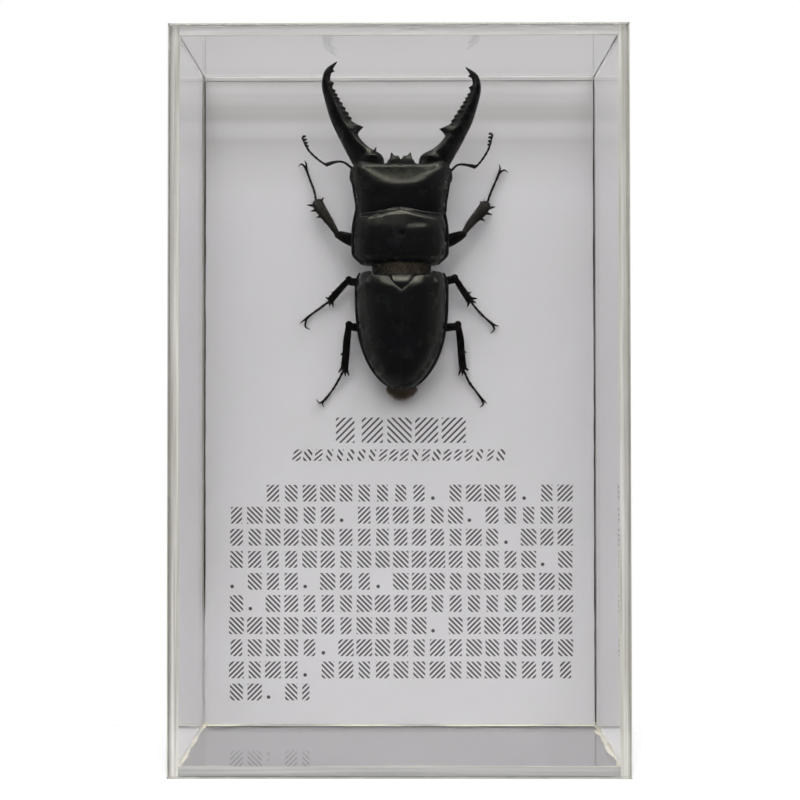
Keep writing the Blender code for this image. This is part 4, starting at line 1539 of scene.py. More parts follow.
@dataclass
class Pronotum:
    """Plate behind the head: a domed disc in a beaded margin, with a lobed front edge."""

    place: BeetlePlace
    x: float = -0.33
    rear_y: float = 2.95
    front_y: float = 13.9
    lobe: float = 1.3
    rim: float = 7.0
    margin: float = 0.65
    bead: float = 0.34
    halves: Curve = field(default_factory=lambda: Curve(
        ((2.9, 8.9), (4.7, 10.75), (6.5, 11.0), (9.0, 11.05), (11.8, 10.85), (15.6, 10.1))
    ))
    crowns: Curve = field(default_factory=lambda: Curve(
        ((2.9, 10.6), (4.5, 11.5), (9.0, 12.0), (13.0, 11.6), (15.4, 11.2))
    ))
    belly: Curve = field(default_factory=lambda: Curve(((2.9, 2.6), (5.5, 1.2), (12.0, 1.4), (15.2, 3.0))))
    under_half: float = 9.0
    front_fall: float = 0.2
    lip_fall: float = 0.25
    lobe_fall: float = 0.5
    front_groove: float = 0.13
    front_gutter: float = 0.25
    rear_groove: float = 0.1
    rear_fall: float = 0.5
    dimple: float = 0.3
    dent: float = 0.16

    def front_at(self, s: Any) -> Array:
        """Front edge: a lobe in the middle and a point at each corner."""
        return self.front_y + self.lobe * (bump(s, 0.0, 0.32) + ease(np.abs(s), 0.86, 1.0))

    def top(self, x: Array, y: Array, s: Array) -> Array:
        """Upper surface.

        Args:
            x: Place across.
            y: Place along.
            s: Share across.

        Returns:
            Height there.
        """
        half = self.halves.at(y)
        disc = half - self.margin
        height = self.rim + (self.crowns.at(y) - self.rim) * dome(x / disc, 3.2, 2.4)
        in_margin = np.clip((np.abs(x) - disc) / self.margin, 0.0, 1.0)
        height += self.bead * np.sin(math.pi * in_margin) ** 0.8
        from_front, from_rear = self.front_at(s) - y, y - self.rear_y
        off_centre = 1.0 - bump(s, 0.0, 0.25)
        height -= self.front_fall * roll_off(from_front, 2.0)
        height -= self.lip_fall * roll_off(from_front, 0.25) * off_centre
        height -= self.lobe_fall * roll_off(from_front, 2.3) * bump(s, 0.0, 0.2)
        height -= self.front_groove * bump(from_front, 0.72, 0.17) * off_centre
        gutter = roll_off(np.abs(from_front - 0.85), 0.95) * off_centre * (1.0 - s**4)
        height -= self.front_gutter * gutter
        height -= self.rear_groove * bump(from_rear, 0.8, 0.18)
        height -= self.rear_fall * roll_off(from_rear, 0.5)
        dimple = bump(x, 0.1, 0.85) * bump(y, 8.8, 0.8)
        dent = bump(x, 3.8, 2.2) * bump(y, 11.3, 1.1)
        return height - self.dimple * dimple - self.dent * dent

    def under(self, x: Array, y: Array, s: Array) -> Array:
        """Lower surface, down to the fore thorax."""
        level = self.rim - 0.6
        return level - (level - self.belly.at(y)) * dome(x / self.under_half, 3.0, 2.0)

    def plate(self) -> Shape:
        """The whole plate.

        Returns:
            The plate.
        """

        def plan(s: Array, t: Array) -> tuple[Array, Array]:
            """Place across and along for a share across and a share from the rear."""
            y = self.rear_y + (self.front_at(s) - self.rear_y) * t
            return across_plate(s, self.halves.at(y) - self.margin, np.full_like(y, self.margin)), y

        rows = np.concatenate([
            np.linspace(0.0, 0.14, 16), np.linspace(0.14, 0.76, 28)[1:], np.linspace(0.76, 1.0, 36)[1:],
        ])
        return relief(plate_columns(44, 9, MARGIN_SHARE, True), rows, plan, self.top, self.under)

    def build(self, finish: Material) -> None:
        """Make the plate in its finish."""
        self.place.part("pronotum", [self.plate().moved(self.x)], finish)


@dataclass
class Head:
    """Head plate with the hollow behind its front edge, its eyes and the forked clypeus."""

    place: BeetlePlace
    pronotum: Pronotum
    x: float = -0.12
    front_y: float = 24.6
    rim: float = 7.2
    margin: float = 0.5
    bead: float = 0.16
    halves: Curve = field(default_factory=lambda: Curve((
        (14.0, 10.35), (16.5, 10.4), (18.6, 10.75), (20.6, 11.05), (22.4, 11.45), (24.0, 11.5), (24.7, 11.1),
    )))
    crowns: Curve = field(default_factory=lambda: Curve(
        ((14.0, 10.4), (16.0, 11.0), (19.0, 11.4), (21.0, 11.4), (24.7, 11.25))
    ))
    belly: Curve = field(default_factory=lambda: Curve(((14.0, 3.0), (18.0, 2.2), (24.6, 3.6))))
    under_half: float = 10.2
    hollow_y: float = 20.4
    hollow_spread: float = 0.05
    hollow_depth: float = 0.36
    hollow_run: float = 0.5
    hollow_slope: float = 0.06
    hollow_ease: float = 0.8
    front_fall: float = 0.3
    rear_fall: float = 0.5
    cheek_groove: float = 0.16
    eye_centre: Point = (10.7, 22.6, 6.9)
    eye_radii: Point = (0.95, 1.7, 1.35)
    clypeus_half: Knots = (
        (4.0, 24.1), (4.0, 25.3), (3.2, 25.75), (2.95, 26.3), (2.6, 26.6), (2.2, 28.1), (1.4, 27.35),
        (0.55, 27.3), (0.0, 26.5),
    )
    overlap: float = 0.35
    clypeus_top: float = 7.7
    clypeus_thickness: tuple[float, float] = (2.4, 1.2)

    def front_at(self, s: Any) -> Array:
        """Front edge of the plate, drawn forward over the foot of each jaw."""
        return self.front_y + 1.0 * bump(np.abs(s), 0.8, 0.2) - 0.5 * np.asarray(s) ** 8

    def top(self, x: Array, y: Array, s: Array) -> Array:
        """Upper surface.

        Args:
            x: Place across.
            y: Place along.
            s: Share across.

        Returns:
            Height there.
        """
        half = self.halves.at(y)
        disc = half - self.margin
        past = y - self.hollow_y - self.hollow_spread * x * x
        past = 0.5 * (past + np.sqrt(past**2 + self.hollow_ease**2))
        hollow = self.hollow_depth * (1.0 - np.exp(-past / self.hollow_run)) + self.hollow_slope * past
        crown = self.crowns.at(y) - hollow
        height = self.rim + (crown - self.rim) * dome(x / disc, 3.6, 2.4)
        in_margin = np.clip((np.abs(x) - disc) / self.margin, 0.0, 1.0)
        height += self.bead * np.sin(math.pi * in_margin) ** 0.8
        from_front = self.front_at(s) - y
        height -= self.front_fall * roll_off(from_front, 0.8)
        height -= self.rear_fall * roll_off(y - self.pronotum.front_at(s) + 0.4, 0.9)
        cheek = ease(y, 17.2, 18.8) * bump(half - np.abs(x), 1.0, 0.16)
        return height - self.cheek_groove * cheek

    def under(self, x: Array, y: Array, s: Array) -> Array:
        """Lower surface, down to the throat."""
        level = self.rim - 0.8
        return level - (level - self.belly.at(y)) * dome(x / self.under_half, 3.0, 2.0)

    def plate(self) -> Shape:
        """Head plate, running back under the pronotum's front edge.

        Returns:
            The plate.
        """

        def plan(s: Array, t: Array) -> tuple[Array, Array]:
            """Place across and along for a share across and a share from the rear."""
            y = (1.0 - t) * (self.pronotum.front_at(s) - self.overlap) + t * self.front_at(s)
            return across_plate(s, self.halves.at(y) - self.margin, np.full_like(y, self.margin)), y

        rows = np.concatenate([np.linspace(0.0, 0.55, 24), np.linspace(0.55, 1.0, 44)[1:]])
        return relief(plate_columns(44, 8, MARGIN_SHARE, True), rows, plan, self.top, self.under)

    def clypeus(self) -> Shape:
        """Forked plate between the jaws, with bevelled edges.

        Returns:
            The clypeus.
        """
        right = np.array(self.clypeus_half)
        outline = np.concatenate([right, right[-2::-1] * (-1.0, 1.0)])
        ahead, behind = np.roll(outline, -1, axis=0), np.roll(outline, 1, axis=0)
        run = ahead - behind
        inward = np.stack([-run[:, 1], run[:, 0]], -1)
        inward /= np.linalg.norm(inward, axis=1, keepdims=True)
        thick, thin = self.clypeus_thickness
        low_y, high_y = outline[:, 1].min(), outline[:, 1].max()
        depth = thick + (thin - thick) * (outline[:, 1] - low_y) / (high_y - low_y)
        rings = []
        for inset, share in ((0.25, 1.0), (0.0, 0.8), (0.0, 0.3), (0.05, 0.14), (0.14, 0.04), (0.24, 0.0)):
            flat = outline + inset * inward
            rings.append(np.column_stack([flat, self.clypeus_top - share * depth]))
        return lofted(np.array(rings)[:, ::-1])

    def build(self, finish: Material) -> None:
        """Make the head in its finish.

        Args:
            finish: Its shell.
        """
        eye = ball(self.eye_centre, self.eye_radii)
        shapes = [self.plate(), self.clypeus(), *(eye.on(side) for side in Side)]
        self.place.part("head", [shape.moved(self.x) for shape in shapes], finish, sharp_degrees=35.0)


@dataclass
class Jaws:
    """The two toothed jaws: round outside, bevelled inside from the big tooth to the tip."""

    place: BeetlePlace
    outer: Route = field(default_factory=lambda: Route((
        (10.9, 25.2), (12.1, 27.4), (13.3, 29.6), (14.5, 32.0), (15.9, 35.0),
        (17.1, 39.0), (17.7, 42.4), (16.9, 45.3), (14.4, 47.1),
    )))
    inner: Route = field(default_factory=lambda: Route((
        (3.75, 25.4), (4.4, 27.5), (7.0, 29.0), (9.4, 31.3), (11.0, 34.6),
        (13.9, 39.2), (15.7, 42.8), (15.4, 45.1), (14.2, 47.0),
    )))
    heights: Curve = field(default_factory=lambda: Curve(
        ((0.0, 4.6), (2.0, 4.4), (4.0, 3.6), (6.0, 2.6), (7.3, 1.6), (8.0, 0.5))
    ))
    levels: Curve = field(default_factory=lambda: Curve(
        ((0.0, 6.8), (2.0, 7.1), (4.0, 8.3), (6.0, 10.1), (8.0, 11.0))
    ))
    big_tooth: Point = (3.76, 2.1, 0.36)
    tip_teeth: tuple[Point, ...] = ((5.93, 0.75, 0.22), (7.05, 0.62, 0.17))
    saw_teeth: int = 7
    saw_from: float = 4.2
    saw_to: float = 5.5
    saw_length: float = 0.45
    saw_half: float = 0.1
    right_reach: float = 0.94
    left_knob: tuple[Point, Point, float] = ((-6.1, 27.6, 8.6), (-5.6, 28.8, 9.0), 0.36)
    tuck: float = 1.4
    foot_swell: float = 0.7
    foot_crease: float = 0.4
    sections: tuple[tuple[float, float, float], ...] = (
        (0.0, 0.0, 0.0), (0.02, 0.3, 0.36), (0.07, 0.52, 0.6), (0.15, 0.72, 0.8), (0.26, 0.88, 0.93),
        (0.4, 0.97, 1.0), (0.5, 1.0, 1.0), (0.58, 0.99, 0.93), (0.66, 0.95, 0.74), (0.75, 0.87, 0.55),
        (0.84, 0.74, 0.4), (0.91, 0.57, 0.32), (0.96, 0.4, 0.25), (1.0, 0.06, 0.06),
    )

    def reach_at(self, place: Array) -> Array:
        """How far the teeth stand out of the inner edge.

        Args:
            place: Places along the jaw.

        Returns:
            Reach in millimetres.
        """
        reach = np.zeros_like(place)
        saw = [(at, self.saw_length, self.saw_half)
               for at in np.linspace(self.saw_from, self.saw_to, self.saw_teeth)]
        for centre, length, half in (*self.tip_teeth, *saw):
            reach += length * np.maximum(0.0, 1.0 - np.abs(place - centre) / half)
        centre, length, half = self.big_tooth
        behind = np.where(place <= centre, np.maximum(0.0, 1.0 - (centre - place) / (1.7 * half)), 0.0)
        ahead = np.where(place > centre, np.maximum(0.0, 1.0 - (place - centre) / (0.8 * half)), 0.0)
        return reach + length * (behind**1.6 + ahead**1.4)

    def places(self) -> Array:
        """Places of the rings: an even set, with one at the foot and tip of every tooth.

        Returns:
            The places.
        """
        centre, _, half = self.big_tooth
        teeth = [centre + half * step for step in (-1.6, -0.8, -0.4, -0.15, 0.0, 0.1, 0.3, 0.8)]
        for at, _, half in self.tip_teeth:
            teeth += [at - half, at, at + half]
        for at in np.linspace(self.saw_from, self.saw_to, self.saw_teeth):
            teeth += [at - self.saw_half, at, at + self.saw_half]
        return np.unique(np.round(np.concatenate([np.linspace(0.0, 8.0, 90), teeth]), 3))

    def jaw(self) -> Shape:
        """Right jaw, at the length of the left one.

        Returns:
            The jaw.
        """
        place = self.places()
        outer, inner = self.outer.at(place), self.inner.at(place)
        across = inner - outer
        width = np.linalg.norm(across, axis=1)
        inward, smooth, bevelled = np.array(self.sections).T
        facet = ease(place, 3.35, 4.0)[:, None]
        top = smooth + (bevelled - smooth) * facet
        under = smooth * (1.0 - 0.15 * inward)
        inward = np.concatenate([inward, inward[-2:0:-1]])
        level = np.concatenate([top, -np.broadcast_to(under, top.shape)[:, -2:0:-1]], 1)
        stretch = inward + (self.reach_at(place) / width)[:, None] * np.maximum(0, (inward - 0.5) / 0.5) ** 2
        flat = outer[:, None, :] + across[:, None, :] * stretch[..., None]
        height = self.levels.at(place)[:, None] + 0.5 * self.heights.at(place)[:, None] * level
        swell = self.foot_swell * bump(flat[..., 0], 5.9, 1.1) * bump(flat[..., 1], 26.8, 0.85)
        crease = self.foot_crease * bump(flat[..., 0], 8.3, 0.7) * bump(flat[..., 1], 27.6, 1.4)
        height += np.where(level > 0.0, swell - crease, 0.0)
        rings = np.concatenate([flat, height[..., None]], -1)
        rings = np.concatenate([rings[:1] - (0.0, self.tuck, 0.0), rings])
        return lofted(rings)

    def build(self, finish: Material) -> None:
        """Make both jaws; the right one lies a little lower and so looks shorter.

        Args:
            finish: Their shell.
        """
        foot = self.outer.at(0.0)[1]
        for side, name in ((Side.LEFT, "jaw_left"), (Side.RIGHT, "jaw_right")):
            shape = self.jaw()
            if side is Side.RIGHT:
                y = shape.points[:, 1]
                shape.points[:, 1] = np.where(y > foot, foot + self.right_reach * (y - foot), y)
            shapes = [shape.on(side)]
            if side is Side.LEFT:
                shapes.append(spine(*self.left_knob))
            self.place.part(name, shapes, finish, sharp_degrees=40.0)


@dataclass
class Antenna:
    """Elbowed antenna: a long first joint, a row of beads and a club of leaves."""

    place: BeetlePlace
    name: str
    scape: tuple[Point, ...]
    whip: tuple[Point, ...]
    leaf_side: int
    scape_radii: tuple[float, ...] = (0.4, 0.3, 0.26, 0.27, 0.36, 0.5)
    beads: int = 7
    bead_radius: float = 0.31
    leaves: int = 4
    leaf_from: float = 0.76
    leaf_step: float = 0.08
    leaf_length: float = 0.62
    leaf_rise: float = 0.16

    def build(self, finish: Material) -> None:
        """Make the antenna.

        Args:
            finish: Its shell.
        """
        shapes = [limb(Route(self.scape), self.scape_radii, self.scape_radii, 12, 30)]
        whip = Route(self.whip)
        for bead in range(self.beads):
            ends = whip.last * (np.array([bead - 0.08, bead + 0.5, bead + 1.06]) / self.beads)
            route = Route(whip.at(np.clip(ends, 0.0, whip.last)))
            radii = (0.55 * self.bead_radius, 0.85 * self.bead_radius, self.bead_radius)
            shapes.append(limb(route, radii, radii, 10, 9))
        for leaf in range(self.leaves):
            root = whip.at(whip.last * (self.leaf_from + self.leaf_step * leaf))
            reach = self.leaf_length * (1.0 + 0.16 * leaf)
            tip = root + (self.leaf_side * reach, self.leaf_rise, 0.0)
            route = Route([root, 0.5 * (root + tip), tip])
            shapes.append(limb(route, (0.2, 0.27, 0.2), (0.3, 0.42, 0.26), 10, 9))
        self.place.part(self.name, shapes, finish)


@dataclass
class Leg:
    """Leg from the body outwards: thigh, spined shin, jointed foot and two claws."""

    place: BeetlePlace
    name: str
    thigh: tuple[Point, ...]
    thigh_radii: tuple[float, ...]
    shin: tuple[Point, ...]
    shin_radii: tuple[float, ...]
    spines: tuple[tuple[Point, Point], ...]
    foot: tuple[Point, ...]
    claws: tuple[tuple[Point, ...], ...]
    foot_radii: tuple[float, float] = (0.2, 0.33)
    foot_joints: tuple[float, ...] = (0.0, 0.16, 0.31, 0.45, 0.58, 1.0)
    claw_radii: tuple[float, ...] = (0.26, 0.2, 0.05)
    spine_radius: float = 0.42

    def build(self, finish: Material) -> None:
        """Make the leg.

        Args:
            finish: Its shell.
        """
        flat = [0.8 * radius for radius in self.thigh_radii]
        shapes = [limb(Route(self.thigh), self.thigh_radii, flat, 20, 26, furrow=0.22)]
        thin = [0.42 + 0.16 * radius for radius in self.shin_radii]
        shapes.append(limb(Route(self.shin), self.shin_radii, thin, 18, 34, furrow=0.3))
        knee = self.shin[0]
        shapes.append(ball(knee, (0.85, 0.85, 0.7), 10, 14))
        shapes += [spine(root, tip, self.spine_radius) for root, tip in self.spines]
        foot = Route(self.foot)
        narrow, wide = self.foot_radii
        for start, end in zip(self.foot_joints, self.foot_joints[1:]):
            ends = foot.last * np.array([start - 0.01, 0.5 * (start + end), end + 0.015])
            route = Route(foot.at(np.clip(ends, 0.0, foot.last)))
            radii = (narrow, 0.5 * (narrow + wide), wide)
            shapes.append(limb(route, radii, radii, 12, 10))
        shapes += [limb(Route(claw), self.claw_radii, self.claw_radii, 10, 14) for claw in self.claws]
        self.place.part(self.name, shapes, finish, Slot.BROWN)


@dataclass
class HindBody:
    """Neck, hind thorax and ringed abdomen under the wing cases."""

    place: BeetlePlace
    wings: WingCases
    inset: float = 1.15
    short: float = 1.1
    neck_front_y: float = 2.9
    neck_half: float = 6.7
    neck_crown: float = 9.0
    neck_side: float = 5.0
    rim: float = 3.8
    belly: Curve = field(default_factory=lambda: Curve(
        ((-25.8, 3.3), (-18.0, 1.2), (-8.0, 0.4), (0.0, 0.6), (2.6, 2.6))
    ))
    rings: tuple[float, ...] = (-12.6, -15.6, -18.3, -20.7, -22.8)

    def half_at(self, y: Any) -> Array:
        """Half the width."""
        covered = self.wings.half_at(np.minimum(y, -0.6)) - self.inset
        return np.maximum(0.8, self.neck_half + (covered - self.neck_half) * ease(y, 0.2, -0.7))

    def top(self, x: Array, y: Array, s: Array) -> Array:
        """Upper surface: the neck, then the back that the wing cases hide.

        Args:
            x: Place across.
            y: Place along.
            s: Share across; not used.

        Returns:
            Height there.
        """
        back_y = np.minimum(y, -0.2)
        half = self.wings.half_at(back_y) - self.inset
        base = self.wings.rim_under - 0.35
        crown = self.wings.crown_at(back_y) - self.inset - 1.3
        covered = base + np.maximum(0.0, crown - base) * dome(x / half, 2.8, 2.2)
        arch = dome(x / (self.neck_half + 0.1), 2.0, 1.6)
        neck = self.neck_side + (self.neck_crown - self.neck_side) * arch
        return covered + (neck - covered) * ease(y, -0.4, 0.4)

    def under(self, x: Array, y: Array, s: Array) -> Array:
        """Belly with its rings.

        Args:
            x: Place across.
            y: Place along.
            s: Share across; not used.

        Returns:
            Height there.
        """
        half = self.wings.half_at(np.minimum(y, -0.6)) - self.inset + 0.2
        depth = self.rim - (self.rim - self.belly.at(y)) * dome(x / half, 2.6, 2.0)
        for ring in self.rings:
            depth += 0.16 * bump(y, ring, 0.14)
        return depth

    def build(self, finish: Material) -> None:
        """Make the body.

        Args:
            finish: Its shell.
        """

        def plan(s: Array, t: Array) -> tuple[Array, Array]:
            """Place across and along for a share across and a share from the front."""
            y = self.neck_front_y + (self.short - self.wings.length - self.neck_front_y) * t
            return s * self.half_at(y), y

        columns = np.sin(0.5 * math.pi * np.linspace(-1, 1, 49))
        shape = relief(columns, np.linspace(1, 0, 130), plan, self.top, self.under)
        self.place.part("hindbody", [shape], finish, Slot.BROWN)


@dataclass
class Bristles:
    """Fine hairs: on the neck, under the wing tip, and along the shins and feet."""

    place: BeetlePlace
    body: HindBody
    legs: Sequence[Leg]
    neck_hairs: int = 1900
    tip_hairs: int = 3000
    shin_hairs: int = 70
    foot_hairs: int = 60
    tip_ring: tuple[float, float] = (5.2, 4.7)
    tip_centre: float = -20.4
    tip_turn: float = 0.64
    radius: float = 0.022
    seed: int = 11

    def tuft(self, roots: Array, lean: Array, droop: Array) -> Shape:
        """Curved three-sided hairs.

        Args:
            roots: Where each hair starts.
            lean: Vector of each hair from root to tip.
            droop: How far each tip bends aside.

        Returns:
            All of the hairs.
        """
        count = len(roots)
        share = np.array([0.0, 0.35, 0.7, 1.0])
        middle = roots[:, None, :] + lean[:, None, :] * share[:, None]
        middle = middle + droop[:, None, :] * share[:, None] ** 2
        side = np.cross(lean, (0.31, 0.23, 0.92))
        side /= np.linalg.norm(side, axis=1, keepdims=True)
        other = np.cross(lean / np.linalg.norm(lean, axis=1, keepdims=True), side)
        turn = 2.0 * math.pi * np.arange(3) / 3
        ring = side[:, None, :] * np.cos(turn)[:, None] + other[:, None, :] * np.sin(turn)[:, None]
        thick = self.radius * np.array([1.0, 0.85, 0.6, 0.08])
        points = middle[:, :, None, :] + ring[:, None, :, :] * thick[:, None, None]
        first = (np.arange(count) * 12)[:, None, None]
        step = np.arange(3)[None, :, None] * 3
        at = np.arange(3)[None, None, :]
        ahead = (at + 1) % 3
        faces = np.stack([first + step + at, first + step + ahead, first + step + 3 + ahead,
                          first + step + 3 + at], -1).reshape(-1, 4).tolist()
        return Shape(points.reshape(-1, 3), faces)

    def neck(self, chance: np.random.Generator) -> Shape:
        """Short fleece on the neck, combed towards the head.

        Args:
            chance: Source of the random draws.

        Returns:
            The fleece.
        """
        count = self.neck_hairs
        x = chance.triangular(-6.4, 0.4, 6.4, count)
        y = chance.uniform(0.2, 2.8, count)
        z = self.body.top(x, y, x) - 0.05
        lean = np.stack([chance.normal(0, 0.22, count), chance.uniform(0.1, 0.6, count),
                         chance.uniform(0.3, 0.8, count)], -1)
        return self.tuft(np.stack([x, y, z], -1), lean, chance.normal(0, 0.12, (count, 3)))

    def wing_tip(self, chance: np.random.Generator) -> Shape:
        """Fringe of the last ring, which shows past the wing cases' tips.

        Args:
            chance: Source of the random draws.

        Returns:
            The fringe.
        """
        count = self.tip_hairs
        turn = chance.uniform(-self.tip_turn, self.tip_turn, count)
        x = self.tip_ring[0] * np.sin(turn)
        y = self.tip_centre - self.tip_ring[1] * np.cos(turn)
        z = chance.uniform(1.6, 3.4, count)
        reach = chance.uniform(1.4, 3.1, count) * (0.5 + 0.5 * np.cos(2.0 * turn))
        drop = chance.uniform(0, 0.7, count)
        lean = np.stack([0.5 * reach * np.sin(turn), -reach * np.cos(turn), -drop], -1)
        return self.tuft(np.stack([x, y, z], -1), lean, chance.normal(0, 0.15, (count, 3)))

    def limb_hairs(
        self, chance: np.random.Generator, route: Route, count: int, radius: float, length: float
    ) -> Shape:
        """Hairs along a shin or a foot, leaning towards its end.

        Args:
            chance: Source of the random draws.
            route: Middle of the limb.
            count: Number of hairs.
            radius: Half the limb's width.
            length: Usual length of a hair.

        Returns:
            The hairs.
        """
        place = chance.uniform(0.15, 1.0, count) * route.last
        points = route.at(place)
        reach = 0.05
        ahead = route.at(np.minimum(route.last, place + reach)) - route.at(np.maximum(0.0, place - reach))
        ahead /= np.linalg.norm(ahead, axis=1, keepdims=True)
        side = route.sideways(place) * np.where(chance.random(count) < 0.5, -1.0, 1.0)[:, None]
        size = length * chance.uniform(0.5, 1.1, count)[:, None]
        down = np.array([0.0, 0.0, -1.0]) * chance.uniform(0.0, 0.5, count)[:, None]
        lean = size * (0.75 * ahead + 0.6 * side + down)
        return self.tuft(points + 0.7 * radius * side, lean, 0.1 * size * ahead)

    def build(self) -> None:
        """Make the fleece of the neck, the fringe of the abdomen and the bristles of the legs."""
        chance = np.random.default_rng(self.seed)
        fleece = MeshStock("beetle_fleece")
        fleece.add(self.place.standing(self.neck(chance)))
        fleece.piece(Bristle("grey-brown fleece", "#7A6D5C", "#D0C2AA").material(), Slot.BROWN)
        fringe = MeshStock("beetle_fringe")
        fringe.add(self.place.standing(self.wing_tip(chance)))
        fringe.piece(Bristle("brown fringe", "#463728", "#8A7259").material(), Slot.BROWN)
        stock = MeshStock("beetle_bristles")
        for leg in self.legs:
            shin = self.limb_hairs(chance, Route(leg.shin), self.shin_hairs, max(leg.shin_radii), 0.8)
            foot = self.limb_hairs(chance, Route(leg.foot), self.foot_hairs, leg.foot_radii[1], 0.55)
            stock.add(self.place.standing(shin), self.place.standing(foot))
        stock.piece(Bristle().material(), Slot.BROWN)


THIGH_FORE = (1.5, 1.4, 0.85)
THIGH_REAR = (1.0, 0.95, 0.85)
SHIN_HIND = (0.7, 0.85, 0.85, 0.9)


